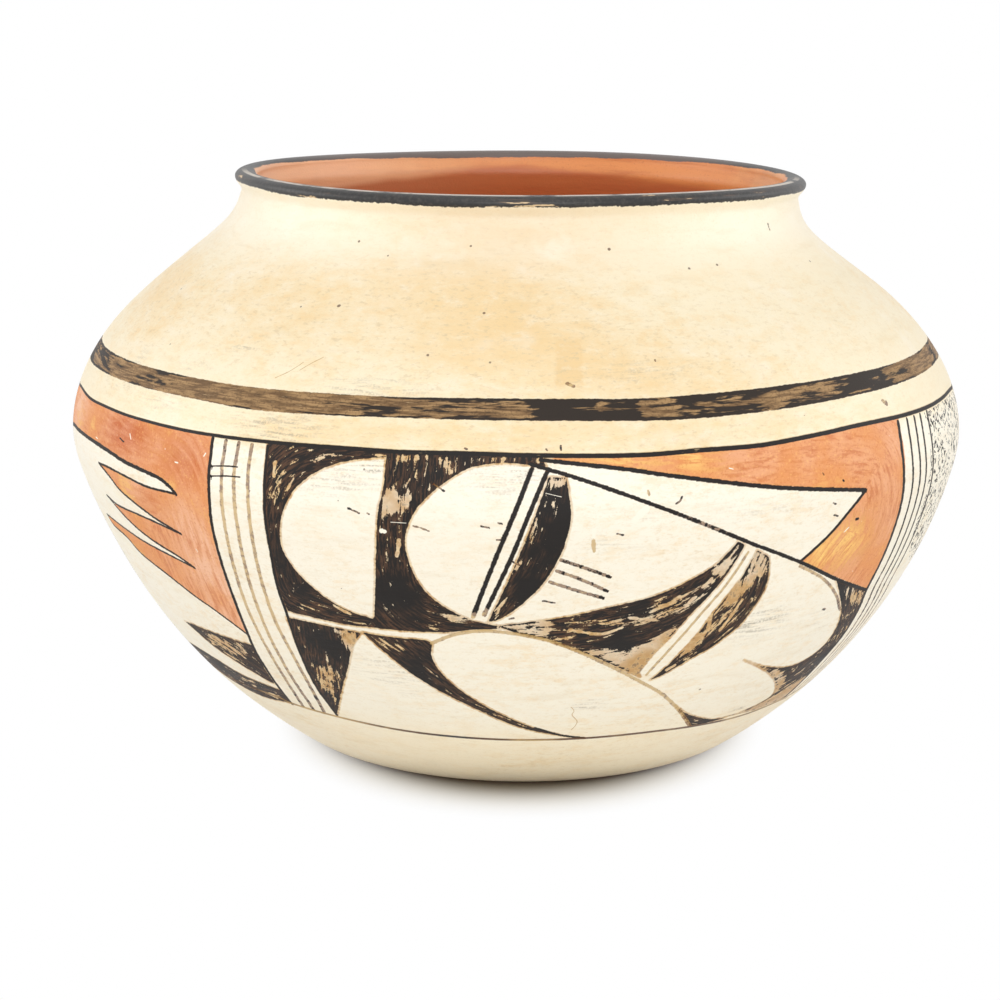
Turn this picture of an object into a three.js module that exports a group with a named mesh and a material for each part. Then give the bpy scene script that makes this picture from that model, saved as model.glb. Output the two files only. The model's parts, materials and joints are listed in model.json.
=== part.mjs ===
// A low, wide clay jar, built as its maker built it: a flat pat of clay for the base, one coil after
// another lapped onto it and thinned out into the wall, and a last coil rolled into the lip.
// Millimetres, +Z up. The origin is the middle of the underside, where the jar stands.
import * as THREE from "three";

// The outer outline. Each height counts from the point named before it.
const footRadius = 62.5;
const footAngle = 30;
const footReach = 58;
const footEase = 4;
const bellyRadius = 125;
const bellyHeight = 87;
const bellyReachDown = 3;
const bellyReachUp = 23;
const shoulderRadius = 99;
const shoulderHeight = 42.5;
const shoulderAngle = 38;
const shoulderReachDown = 8;
const shoulderReachUp = 21;
const neckRadius = 77.6;
const neckHeight = 22.5;
const neckReach = 7;
const lipHeight = 7.8;
const lipOverhang = 1.8;

// The clay: its thickness, and how far each coil laps down the inside of the one below.
const wall = 6;
const floorThickness = 8;
const lipThickness = 6.2;
const lipRounding = 2.4;
const lap = 5;
const patTurnUp = 12;

// The coils above the base, from the lowest to the highest, with the lip on top of them.
const coilNames = [
  "foot_coil",
  "lower_wall_coil_1",
  "lower_wall_coil_2",
  "belly_coil_1",
  "belly_coil_2",
  "shoulder_coil_1",
  "shoulder_coil_2",
  "neck_coil",
];

// How finely the round shapes are divided.
const turnSteps = 64;
const coilSteps = 3;
const easeSteps = 3;
const lipSteps = 6;
const searchStep = 0.05;

const slip = { color: 0xf3e7cf, roughness: 0.45, metalness: 0 };
const blackPaint = { color: 0x34312f, roughness: 0.5, metalness: 0 };

// A point at an angle in degrees and a distance from another point of the outline.
function away(point, angle, distance) {
  const radians = THREE.MathUtils.degToRad(angle);
  const step = new THREE.Vector2(Math.cos(radians), Math.sin(radians));
  return point.clone().addScaledVector(step, distance);
}

// The outer face of the wall from the foot to the neck, as radius and height.
function outerWall() {
  const up = 90;
  const inward = 180 - shoulderAngle;
  const foot = new THREE.Vector2(footRadius, 0);
  const belly = new THREE.Vector2(bellyRadius, bellyHeight);
  const shoulder = new THREE.Vector2(shoulderRadius, belly.y + shoulderHeight);
  const neck = new THREE.Vector2(neckRadius, shoulder.y + neckHeight);
  const lowerWall = new THREE.CubicBezierCurve(
    foot,
    away(foot, footAngle, footReach),
    away(belly, up, -bellyReachDown),
    belly,
  );
  const upperWall = new THREE.CubicBezierCurve(
    belly,
    away(belly, up, bellyReachUp),
    away(shoulder, inward, -shoulderReachDown),
    shoulder,
  );
  const neckHollow = new THREE.CubicBezierCurve(
    shoulder,
    away(shoulder, inward, shoulderReachUp),
    away(neck, up, -neckReach),
    neck,
  );
  const line = new THREE.CurvePath();
  [lowerWall, upperWall, neckHollow].forEach((curve) => line.add(curve));
  return line;
}

const wallLine = outerWall();
const wallLength = wallLine.getLength();

// The point of the outer face at a length of wall above the foot.
function outerPoint(length) {
  return wallLine.getPointAt(length / wallLength);
}

// The point of the inner face straight across the wall from there.
function innerPoint(length) {
  const along = wallLine.getTangentAt(length / wallLength);
  const across = new THREE.Vector2(-along.y, along.x);
  return outerPoint(length).addScaledVector(across, wall);
}

// Points of one face between two lengths of wall, both ends included.
function face(pointAt, from, to, steps) {
  const points = [];
  for (let i = 0; i <= steps; i += 1) {
    points.push(pointAt(THREE.MathUtils.lerp(from, to, i / steps)));
  }
  return points;
}

// The length of wall at which the inner face rises out of the floor.
function floorCorner() {
  let length = 0;
  while (innerPoint(length).y < floorThickness) {
    length += searchStep;
  }
  return length;
}

// Turns an outline about the upright axis into a solid piece.
function turned(name, outline, finish) {
  const geometry = new THREE.LatheGeometry(outline, turnSteps);
  geometry.rotateX(Math.PI / 2);
  const mesh = new THREE.Mesh(geometry, new THREE.MeshStandardMaterial(finish));
  mesh.name = name;
  return mesh;
}

const cornerLength = floorCorner();
const patLength = cornerLength + patTurnUp;

// The base: a flat round pat with its edge turned up, which carries the first coil.
function basePat() {
  const underside = new THREE.QuadraticBezierCurve(
    new THREE.Vector2(footRadius - footEase, 0),
    new THREE.Vector2(footRadius, 0),
    outerPoint(footEase),
  );
  const corner = innerPoint(cornerLength);
  corner.y = floorThickness;
  const seat = innerPoint(patLength - lap);
  const inside = new THREE.QuadraticBezierCurve(
    seat,
    corner,
    new THREE.Vector2(corner.x - corner.distanceTo(seat), floorThickness),
  );
  const outline = [
    new THREE.Vector2(0, 0),
    ...underside.getPoints(easeSteps),
    ...face(outerPoint, footEase, patLength, easeSteps).slice(1),
    ...inside.getPoints(easeSteps),
    new THREE.Vector2(0, floorThickness),
  ];
  return turned("base_pat", outline, slip);
}

// One coil of the wall. It is lapped onto the inside of the one below it, so that the seam comes
// out lower on the inner face than on the outer one.
function wallCoil(name, from, to) {
  const outline = [
    ...face(outerPoint, from, to, coilSteps),
    ...face(innerPoint, to - lap, from - lap, coilSteps),
  ];
  outline.push(outline[0].clone());
  return turned(name, outline, slip);
}

// The last coil, a rounded lip that leans out a little over the neck.
function lipCoil() {
  const neck = outerPoint(wallLength);
  const middle = new THREE.Vector2(
    neck.x + lipOverhang - lipThickness / 2,
    neck.y + lipHeight - lipRounding,
  );
  const lip = [];
  for (let i = 0; i <= lipSteps; i += 1) {
    const turn = (Math.PI * i) / lipSteps;
    const point = new THREE.Vector2(
      middle.x + (lipThickness / 2) * Math.cos(turn),
      middle.y + lipRounding * Math.sin(turn),
    );
    lip.push(point);
  }
  const outline = [neck, ...lip, innerPoint(wallLength), innerPoint(wallLength - lap), neck.clone()];
  return turned("lip_coil", outline, blackPaint);
}

const jar = new THREE.Group();
jar.add(basePat());
const coilLength = (wallLength - patLength) / coilNames.length;
coilNames.forEach((name, i) => {
  const from = patLength + i * coilLength;
  const to = patLength + (i + 1) * coilLength;
  jar.add(wallCoil(name, from, to));
});
jar.add(lipCoil());

export default jar;
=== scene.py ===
# %% [markdown]
# # A painted, coil-built clay jar
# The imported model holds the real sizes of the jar. This lesson gives the jar its looks: a smooth
# wall, a rounded lip, a stone-polished cream slip, and the painter's black, brown and red.
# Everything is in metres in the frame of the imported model, with the front of the jar towards -Y.

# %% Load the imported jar
import json
import math

import bmesh
import bpy
import numpy as np
from mathutils import Matrix, Vector

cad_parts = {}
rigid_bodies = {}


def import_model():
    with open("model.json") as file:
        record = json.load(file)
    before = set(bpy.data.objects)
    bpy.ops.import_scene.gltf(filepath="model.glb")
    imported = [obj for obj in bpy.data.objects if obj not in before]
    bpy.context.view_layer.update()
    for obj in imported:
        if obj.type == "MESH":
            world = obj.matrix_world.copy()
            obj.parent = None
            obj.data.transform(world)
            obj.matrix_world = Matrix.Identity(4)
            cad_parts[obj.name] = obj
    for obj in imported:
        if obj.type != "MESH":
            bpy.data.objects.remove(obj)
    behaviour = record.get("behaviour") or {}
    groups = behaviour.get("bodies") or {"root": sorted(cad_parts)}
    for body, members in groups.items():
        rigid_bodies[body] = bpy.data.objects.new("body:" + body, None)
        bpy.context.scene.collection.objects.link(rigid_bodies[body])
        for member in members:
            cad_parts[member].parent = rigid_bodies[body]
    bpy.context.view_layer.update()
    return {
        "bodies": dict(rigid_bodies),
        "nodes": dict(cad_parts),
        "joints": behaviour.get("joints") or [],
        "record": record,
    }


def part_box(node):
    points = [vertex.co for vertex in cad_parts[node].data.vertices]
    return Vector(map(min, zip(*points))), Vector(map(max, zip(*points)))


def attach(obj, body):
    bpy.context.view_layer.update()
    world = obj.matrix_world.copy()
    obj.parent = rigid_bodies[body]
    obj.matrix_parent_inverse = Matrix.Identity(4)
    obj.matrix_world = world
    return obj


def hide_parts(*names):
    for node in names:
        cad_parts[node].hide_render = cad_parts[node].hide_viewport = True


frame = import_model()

MM = 0.001

# %% [markdown]
# ## The camera comes first
# A painter's line sits where the eye sees it. So the camera is placed before anything is made, and
# the outlines of the paint are then thrown from the picture onto the wall along the camera's rays.
# The numbers are the height, distance and tilt that make the jar's outline fit the picture.

# %% Camera
PICTURE = 1000
SENSOR = 36.0
LENS = 82.02
CAMERA_BACK = 0.6422
CAMERA_HEIGHT = 0.2098
LOOK_DOWN = math.radians(12.839)
LOOK_LEFT = math.radians(0.387)
CAMERA_LEAN = math.radians(0.134)

camera_place = (
    Matrix.Translation((0, -CAMERA_BACK, CAMERA_HEIGHT))
    @ Matrix.Rotation(LOOK_LEFT, 4, "Z")
    @ Matrix.Rotation(math.pi / 2 - LOOK_DOWN, 4, "X")
    @ Matrix.Rotation(CAMERA_LEAN, 4, "Z")
)
camera = bpy.data.objects.new("camera", bpy.data.cameras.new("camera"))
camera.data.sensor_fit = "HORIZONTAL"
camera.data.sensor_width = SENSOR
camera.data.lens = LENS
camera.matrix_world = camera_place
bpy.context.scene.collection.objects.link(camera)
bpy.context.scene.camera = camera
bpy.context.scene.view_settings.view_transform = "Standard"
print("camera looks down", round(math.degrees(LOOK_DOWN), 1), "degrees")

# %% [markdown]
# ## The outline of the wall
# A jar like this has one flowing outline: out from the foot, round the belly, in over the shoulder
# and up into the neck. Three curves with shared directions where they meet keep it free of kinks.
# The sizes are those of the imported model, in millimetres, so both follow the same line.

# %% Outline of the wall
FOOT = (62.5, 0.0)
FOOT_ANGLE, FOOT_REACH, FOOT_EASE = math.radians(30), 58.0, 4.0
BELLY = (125.0, 87.0)
BELLY_REACH_DOWN, BELLY_REACH_UP = 3.0, 23.0
SHOULDER = (99.0, 129.5)
SHOULDER_ANGLE = math.radians(38)
SHOULDER_REACH_DOWN, SHOULDER_REACH_UP = 8.0, 21.0
NECK = (77.6, 152.0)
NECK_REACH = 7.0
WALL = 6.0
FLOOR = 8.0
EASE = 9.0


def curve_points(start, start_pull, end_pull, end, steps=400):
    """Points along a curve with two handles, given as steps away from its ends."""
    start, end = np.array(start), np.array(end)
    share = np.linspace(0, 1, steps)[:, None]
    first, last = start + np.array(start_pull), end + np.array(end_pull)
    return (
        (1 - share) ** 3 * start
        + 3 * (1 - share) ** 2 * share * first
        + 3 * (1 - share) * share**2 * last
        + share**3 * end
    )


def eased(line, reach, step=0.25):
    """A line with its tight bends rounded over a reach in mm, and its ends where they were."""
    passed = np.concatenate([[0], np.cumsum(np.hypot(*np.diff(line, axis=0).T))])
    even = np.linspace(0, passed[-1], round(passed[-1] / step))
    points = np.column_stack([np.interp(even, passed, side) for side in line.T])
    window = np.hanning(2 * round(reach / step) + 1)
    count = len(window) // 2
    before, after = 2 * points[0] - points[count:0:-1], 2 * points[-1] - points[-2 : -count - 2 : -1]
    held = np.vstack([before, points, after])
    window /= window.sum()
    return np.column_stack([np.convolve(side, window, mode="valid") for side in held.T])


inward = np.array([-math.cos(SHOULDER_ANGLE), math.sin(SHOULDER_ANGLE)])
foot_pull = FOOT_REACH * np.array([math.cos(FOOT_ANGLE), math.sin(FOOT_ANGLE)])
lower_line = curve_points(FOOT, foot_pull, (0, -BELLY_REACH_DOWN), BELLY)
upper_line = curve_points(BELLY, (0, BELLY_REACH_UP), -SHOULDER_REACH_DOWN * inward, SHOULDER)
neck_line = curve_points(SHOULDER, SHOULDER_REACH_UP * inward, (0, -NECK_REACH), NECK)
wall_line = np.vstack([lower_line, upper_line[1:], neck_line[1:]])
wall_line = eased(wall_line, EASE)
wall_steps = np.hypot(*np.diff(wall_line, axis=0).T)
wall_length = np.concatenate([[0], np.cumsum(wall_steps)])
wall_slope = np.gradient(wall_line, wall_length, axis=0)
wall_slope /= np.hypot(*wall_slope.T)[:, None]
WALL_END = wall_length[-1]


def outer_face(length):
    """Radius and height of the outer face at a length of wall above the foot."""
    return np.column_stack([np.interp(length, wall_length, side) for side in wall_line.T])


def inner_face(length):
    """Radius and height straight across the wall from there."""
    slope = np.column_stack([np.interp(length, wall_length, side) for side in wall_slope.T])
    return outer_face(length) + WALL * np.column_stack([-slope[:, 1], slope[:, 0]])


print("length of the wall, foot to neck, in mm:", round(WALL_END, 1))

# %% [markdown]
# ## The courses of clay
# The maker pats out a base, laps coil after coil onto it and rolls the last one into a lip. Each
# coil overlaps the inside of the one below, so its seam comes out lower inside than outside.
# The heights of the seams follow from the wall alone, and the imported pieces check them.

# %% Courses of clay
COIL_NAMES = [
    "foot_coil",
    "lower_wall_coil_1",
    "lower_wall_coil_2",
    "belly_coil_1",
    "belly_coil_2",
    "shoulder_coil_1",
    "shoulder_coil_2",
    "neck_coil",
]
LAP = 5.0
PAT_TURN_UP = 12.0
LOWEST_WALL = 30.0
low_wall = wall_length[wall_length < LOWEST_WALL]
corner_length = np.interp(FLOOR, inner_face(low_wall)[:, 1], low_wall)
pat_length = corner_length + PAT_TURN_UP
seams = np.linspace(pat_length, WALL_END, len(COIL_NAMES) + 1)
for name, bottom, top in zip(COIL_NAMES, seams[:-1], seams[1:]):
    faces = np.vstack([outer_face([bottom, top]), inner_face([bottom - LAP, top - LAP])])
    made, packed = np.ptp(faces[:, 1]), (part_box(name)[1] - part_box(name)[0]).z / MM
    print(f"{name}: {made:.1f} mm high here, {packed:.1f} mm in the packed model")

# %% [markdown]
# ## What a hand does to a round jar
# No hand-built jar is a perfect turning. This one leans a little, its foot spreads and sits off the
# middle, as the neck does, and its lip dips to one side. A few small shifts that grow and fade with
# height say all of that. They are one function of place, so every piece bends alike.

# %% Hand-built unevenness
LEAN_HEIGHTS = [0, 20, 60, 84, 100, 125, 140, 152, 160]
LEAN_SHIFTS = [1.6, 1.1, 0.9, 0.1, 0.0, -0.3, 0.0, 1.0, 1.25]
FOOT_SPREAD, SPREAD_HEIGHT = 0.018, 14.0
CREST = 158.1
CAD_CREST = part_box("lip_coil")[1].z / MM
DIP = 1.04
DIP_FROM = 122.0


def lean_line(steps=15):
    """The sideways shift for every mm of height, with the corners of the list smoothed away."""
    heights = np.arange(-steps, LEAN_HEIGHTS[-1] + 2 * steps)
    window = np.hanning(steps + 2)[1:-1]
    shifts = np.interp(heights, LEAN_HEIGHTS, LEAN_SHIFTS)
    shifts = np.pad(shifts, steps // 2, mode="edge")
    return heights, np.convolve(shifts, window / window.sum(), mode="valid")


lean_heights, lean_shifts = lean_line()


def lean(height):
    """How far the jar's middle is off to the side at a height, in mm."""
    return np.interp(height, lean_heights, lean_shifts)


def hand_built(places):
    """Moves places on the true turned jar to where they are on the uneven one, in mm."""
    side, depth, height = places.T
    spread = 1 + FOOT_SPREAD * np.clip(1 - height / SPREAD_HEIGHT, 0, 1) ** 2
    side, depth = side * spread, depth * spread
    share = np.clip((height - DIP_FROM) / (NECK[1] - DIP_FROM), 0, 1)
    settle = (CREST - NECK[1]) / (CAD_CREST - NECK[1])
    lip_height = NECK[1] + (height - NECK[1]) * settle
    level = np.where(height > NECK[1], lip_height, height)
    dipped = level - DIP * share**2 * (3 - 2 * share) * (side / NECK[0]) ** 3
    return np.column_stack([side + lean(height), depth, dipped])


print("the lip dips by", DIP, "mm at its right")

# %% [markdown]
# ## From the picture to the wall
# The wall isn't flat, so the paint is laid out on a map of it, as a globe is mapped: across is the
# way round the jar, and up is stretched by the same amount as across is at that height. Angles and
# small shapes then stay true, and distances only need the scale of their height.

# %% Map of the wall
MAP_RADIUS = BELLY[0]
map_steps = wall_steps * MAP_RADIUS / ((wall_line[1:, 0] + wall_line[:-1, 0]) / 2)
map_height = np.concatenate([[0], np.cumsum(map_steps)])
MAP_PERIOD = math.pi * MAP_RADIUS


def on_map(turn, height):
    """Map places in mm for turns in radians from the front and heights in mm."""
    return np.column_stack([turn * MAP_RADIUS, np.interp(height, wall_line[:, 1], map_height)])


def smooth(points, steps=6):
    """A smooth curve through given points."""
    points = np.array(points, float)
    if len(points) < 3:
        return points
    held = np.vstack([2 * points[0] - points[1], points, 2 * points[-1] - points[-2]])
    share = (np.arange(steps) / steps)[:, None]
    curve = []
    for before, start, end, after in zip(held, held[1:], held[2:], held[3:]):
        bend = 2 * before - 5 * start + 4 * end - after
        twist = 3 * (start - end) + after - before
        curve.append(start + 0.5 * share * (end - before + share * (bend + share * twist)))
    return np.vstack(curve + [points[-1:]])


def around(*points):
    """A smooth line on the map through (degrees, height in mm)."""
    line = smooth(points)
    return on_map(np.radians(line[:, 0]), line[:, 1])


RAY_START, RAY_END, RAY_STEPS = 0.7, 1.15, 2500
ray_reach = np.linspace(RAY_START, RAY_END, RAY_STEPS) * CAMERA_BACK / MM


def seen(*pixels):
    """A smooth line on the map through points of the picture, thrown along the camera's rays."""
    line = smooth(pixels)
    focal = LENS / SENSOR * PICTURE
    across, up = (line[:, 0] - PICTURE / 2) / focal, (PICTURE / 2 - line[:, 1]) / focal
    rays = np.column_stack([across, up, -np.ones(len(line))]) @ np.array(camera_place.to_3x3()).T
    eye = np.array(camera_place.translation) / MM
    spots = eye + ray_reach[None, :, None] * rays[:, None, :]
    side, depth, height = spots[..., 0] - lean(spots[..., 2]), spots[..., 1], spots[..., 2]
    gap = np.hypot(side, depth) - np.interp(height, wall_line[:, 1], wall_line[:, 0])
    gap = np.where((height > 0) & (height < NECK[1]), gap, np.inf)
    hits = (gap <= 0).any(axis=1)
    spot = np.where(hits, (gap <= 0).argmax(axis=1), gap.argmin(axis=1))
    row = np.arange(len(line))
    return on_map(np.arctan2(side[row, spot], -depth[row, spot]), height[row, spot])


front = seen((519, 456))[0]
print("the frame line at the front is at map place", np.round(front, 1))

# %% [markdown]
# ## Turning the courses
# Each course is a ring. Its outline is drawn once as a few edges, up the outer face, down the inner
# one and closed by the lapped seams, and the spin operator turns it about the upright axis. Painted
# faces get a vertex every half millimetre, because the paint is carried by the vertices. Each
# vertex keeps its number along the outline, which later tells the outer face from the inner one.

# %% Outlines of the courses
PAINTED = COIL_NAMES[:6]
FINE_COLUMNS, PLAIN_COLUMNS = 1536, 768
FINE_STEP, PLAIN_STEP, INNER_STEP, SEAM_POINTS = 0.5, 1.0, 2.0, 3


def between(start, end):
    """Points across a seam, both ends left out."""
    share = np.linspace(0, 1, SEAM_POINTS + 2)[1:-1, None]
    return start + share * (end - start)


def lengths(bottom, top, step):
    """Even lengths of wall, about a step apart."""
    return np.linspace(bottom, top, math.ceil(abs(top - bottom) / step) + 1)


def coil_outline(bottom, top, step):
    """The closed outline of one coil, and how many of its points are on the outer face."""
    outer = outer_face(lengths(bottom, top, step))
    inner = inner_face(lengths(top - LAP, bottom - LAP, INNER_STEP))
    upper_seam, lower_seam = between(outer[-1], inner[0]), between(inner[-1], outer[0])
    return np.vstack([outer, upper_seam, inner, lower_seam]), len(outer)


def bent(start, middle, end, steps=8):
    """A bend from start to end that heads for the middle point, ends left out."""
    share = np.linspace(0, 1, steps + 2)[1:-1, None]
    start, middle, end = (np.array(point, float) for point in (start, middle, end))
    return (1 - share) ** 2 * start + 2 * (1 - share) * share * middle + share**2 * end


# %% [markdown]
# The base is open towards the axis: its outline runs from the middle of the underside round the
# turned-up edge to the middle of the floor, and the spin closes both middles to a point. The lip
# is half an ellipse on top of the neck, a little wider than it. The slip goes round the edge of the
# foot as far as the last four points of its bend.

# %% Outlines of the base and the lip
FLAT_STEPS, LIP_STEPS, LIP_BEND_STEPS = 24, 40, 12
SLIP_UNDER = 4
LIP_OVERHANG, LIP_THICKNESS, LIP_ROUNDING = 1.8, 6.2, 2.4
LIP_PULL, NECK_PULL, WALL_PULL = 2.0, 2.2, 2.4


def flat_points(radius, height):
    """Points of a flat disc from the axis out to a radius."""
    return np.column_stack([np.linspace(0, radius, FLAT_STEPS), np.full(FLAT_STEPS, height)])


def base_outline():
    """The outline of the base, and the numbers of its first and last point on the outer face."""
    foot_start = (FOOT[0] - FOOT_EASE, 0)
    outer = outer_face(lengths(FOOT_EASE, pat_length, FINE_STEP))
    underside = np.vstack([flat_points(foot_start[0], 0), bent(foot_start, FOOT, outer[0])])
    corner = inner_face([corner_length])[0]
    seat = inner_face([pat_length - LAP])[0]
    floor_edge = (corner[0] - np.hypot(*(corner - seat)), FLOOR)
    rising = bent(seat, corner, floor_edge)
    floor = flat_points(floor_edge[0], FLOOR)[::-1]
    line = np.vstack([underside, outer, between(outer[-1], seat), seat[None], rising, floor])
    return line, len(underside) - SLIP_UNDER, len(underside) + len(outer)


def lip_outline():
    """The closed outline of the lip, and how many of its points are outside its crest."""
    neck = outer_face([WALL_END])[0]
    middle = (NECK[0] + LIP_OVERHANG - LIP_THICKNESS / 2, CAD_CREST - LIP_ROUNDING)
    turn = np.linspace(0, math.pi, LIP_STEPS + 1)
    roll = middle + np.column_stack([LIP_THICKNESS / 2 * np.cos(turn), LIP_ROUNDING * np.sin(turn)])
    slope, down = wall_slope[-1], (0, -LIP_PULL)
    swell = curve_points(neck, NECK_PULL * slope, down, roll[0], LIP_BEND_STEPS)[1:-1]
    inside = inner_face(lengths(WALL_END, WALL_END - LAP, FINE_STEP))
    drop = curve_points(roll[-1], down, WALL_PULL * slope, inside[0], LIP_BEND_STEPS)[1:-1]
    line = np.vstack([neck[None], swell, roll, drop, inside, between(inside[-1], neck)])
    return line, 1 + len(swell) + LIP_STEPS // 2


print("points round the base and the lip:", len(base_outline()[0]), len(lip_outline()[0]))

# %% [markdown]
# A spin in very many steps is slow, so the outline is spun in 96, and subdividing the edges that run
# round the axis gives the rest. The first and last column of a full spin are told to merge, and so
# are the doubles at the two poles of the base. Only then are the normals made to point outwards.

# %% Turning
POLE_GAP = 1e-6
SPIN_COLUMNS = 96
SEAM_ANGLE = math.radians(35)


def turned(name, outline, closed, columns):
    """Spins an outline of radius and height, in mm, into a piece about the upright axis."""
    shape = bmesh.new()
    number = shape.verts.layers.float.new("number")
    corners = [shape.verts.new((0, radius * MM, height * MM)) for radius, height in outline]
    for count, corner in enumerate(corners):
        corner[number] = count
    ends = corners[1:] + corners[:1] if closed else corners[1:]
    edges = [shape.edges.new(pair) for pair in zip(corners, ends)]
    bmesh.ops.spin(
        shape, geom=corners + edges, cent=(0, 0, 0), axis=(0, 0, 1), angle=2 * math.pi,
        steps=SPIN_COLUMNS, use_merge=True,
    )
    bmesh.ops.remove_doubles(shape, verts=shape.verts, dist=POLE_GAP)
    rounds = [edge for edge in shape.edges if edge.verts[0][number] == edge.verts[1][number]]
    cuts = columns // SPIN_COLUMNS - 1
    bmesh.ops.subdivide_edges(shape, edges=rounds, cuts=cuts, use_grid_fill=True)
    bmesh.ops.recalc_face_normals(shape, faces=shape.faces)
    mesh = bpy.data.meshes.new(name)
    shape.to_mesh(mesh)
    shape.free()
    piece = bpy.data.objects.new(name, mesh)
    bpy.context.scene.collection.objects.link(piece)
    return piece


def column(mesh, name, width=1):
    """One of the mesh's numbers for every vertex, as an array."""
    values = np.empty(len(mesh.vertices) * width, np.float32)
    mesh.attributes[name].data.foreach_get("vector" if width == 3 else "value", values)
    return values.reshape(-1, width) if width > 1 else values


def true_places(piece, outline, columns):
    """Number, turn from the front, radius and height of every vertex, cleaned of rounding."""
    spots = column(piece.data, "position", 3)
    number = np.rint(column(piece.data, "number")).astype(int)
    step = 2 * math.pi / columns
    turn = np.rint(np.arctan2(spots[:, 0], -spots[:, 1]) / step) * step
    return number, turn, outline[number, 0], outline[number, 1]


courses = {}
base_line, base_first, base_last = base_outline()
courses["base_pat"] = (base_line, base_first, base_last, False, PLAIN_COLUMNS)
for name, bottom, top in zip(COIL_NAMES, seams[:-1], seams[1:]):
    fine = name in PAINTED
    line, last = coil_outline(bottom, top, FINE_STEP if fine else PLAIN_STEP)
    courses[name] = (line, 0, last, True, FINE_COLUMNS if fine else PLAIN_COLUMNS)
lip_line, lip_last = lip_outline()
courses["lip_coil"] = (lip_line, 0, lip_last, True, PLAIN_COLUMNS)

pieces = {}
for name, (line, first, last, closed, columns) in courses.items():
    pieces[name] = turned(name + ".clay", line, closed, columns)
    print(name, "has", len(pieces[name].data.polygons), "faces")

# %% [markdown]
# ## Distances to the paint
# No picture is laid on the jar. Instead each vertex of the wall learns how far it is from every edge
# and line of the paint, in mm, and the materials cut sharp edges out of those soft distances. The
# pattern comes twice round the jar, so half of the columns are measured and the rest repeat them.

# %% The painted wall as places on the map
HALF_COLUMNS = FINE_COLUMNS // 2
FAR = 6.0
MARGIN = 1.8 * FAR
half_turns = np.arange(HALF_COLUMNS) * 2 * math.pi / FINE_COLUMNS
painted_lines = {name: courses[name][0][: courses[name][2]] for name in PAINTED}
painted_rows = np.vstack(list(painted_lines.values()))
wall_map = on_map(
    np.repeat(half_turns, len(painted_rows)), np.tile(painted_rows[:, 1], HALF_COLUMNS)
)
wall_scale = np.tile(painted_rows[:, 0], HALF_COLUMNS) / MAP_RADIUS


def beside(places, path):
    """Distance to a path, distance across it and length along it, for places on the map."""
    near = np.full(len(places), np.inf)
    across, along = near.copy(), near.copy()
    steps = np.diff(path, axis=0)
    sizes = np.hypot(*steps.T)
    passed = np.cumsum(sizes) - sizes
    for start, way, size, before in zip(path, steps / sizes[:, None], sizes, passed):
        gap = places - start
        ahead, side = gap @ way, gap @ np.array([-way[1], way[0]])
        distance = np.hypot(ahead - np.clip(ahead, 0, size), side)
        closer = distance < near
        near = np.where(closer, distance, near)
        across = np.where(closer, side, across)
        along = np.where(closer, before + ahead, along)
    return near, across, along


def within(places, outline):
    """Distance to the edge of an area, with a minus inside it."""
    inside = np.zeros(len(places), bool)
    for start, end in zip(outline, np.roll(outline, -1, axis=0)):
        spans = (start[1] > places[:, 1]) != (end[1] > places[:, 1])
        share = (places[:, 1] - start[1]) / (end[1] - start[1] if end[1] != start[1] else 1)
        inside ^= spans & (places[:, 0] < start[0] + share * (end[0] - start[0]))
    near = beside(places, np.vstack([outline, outline[:1]]))[0]
    return np.where(inside, -near, near)


def wall_near(path, margin=MARGIN):
    """The wall's vertices round a path, and their places on its side of the jar."""
    low, high = path.min(axis=0) - margin, path.max(axis=0) + margin
    middle = (low[0] + high[0]) / 2
    side = wall_map[:, 0] - MAP_PERIOD * np.round((wall_map[:, 0] - middle) / MAP_PERIOD)
    places = np.column_stack([side, wall_map[:, 1]])
    chosen = np.nonzero(((places > low) & (places < high)).all(axis=1))[0]
    return chosen, places[chosen]


print("vertices that learn their distances:", len(wall_map))

# %% [markdown]
# A filled area keeps three numbers at each vertex: the distance to its edge, and how far along and
# across the brush's way the vertex lies, so that the streaks can follow the strokes. A line keeps
# three too: across it in half widths, how far past its end, and how dark its paint is, from 0 for
# tan to 1 for black.

# %% Areas and lines
SEED_STEP = 53.0
SAME_PLACE = 0.01
LINE_REACH = 0.4
OFF_LINE = 5.0
AREAS = ["black", "red", "dotted"]
LINES = ["bold", "cross", "thin", "open", "dash"]
areas = {area: np.tile([FAR, 0.0, 0.0], (len(wall_map), 1)) for area in AREAS}
lines = {kind: np.tile([OFF_LINE, OFF_LINE, 0.0], (len(wall_map), 1)) for kind in LINES}
gaps = {kind: np.full(len(wall_map), np.inf) for kind in LINES}
counts = dict.fromkeys(AREAS + LINES, 0)


def shape(runs):
    """One closed outline from smooth runs of picture points, each from the end of the last one."""
    starts = [run[-1] for run in [runs[-1], *runs[:-1]]]
    outline = np.vstack([seen(start, *run) for start, run in zip(starts, runs)])
    kept = np.hypot(*(outline - np.roll(outline, 1, axis=0)).T) > SAME_PLACE
    return outline[kept]


def fill(area, outline, brush):
    """Adds a filled outline, painted with strokes along a brush line, to a kind of area."""
    counts[area] += 1
    rows, places = wall_near(outline)
    scale = wall_scale[rows]
    edge = within(places, outline) * scale
    _, across, along = beside(places, brush)
    better = edge < areas[area][rows, 0]
    values = np.column_stack([edge, along * scale + counts[area] * SEED_STEP, across * scale])
    areas[area][rows[better]] = values[better]


def fill_all(area, shapes):
    """Fills shapes, each given by the runs of its outline and, last, by its brush line."""
    for *runs, brush in shapes:
        fill(area, shape(runs), seen(*brush))
    print(area, "shapes so far:", counts[area])


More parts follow.
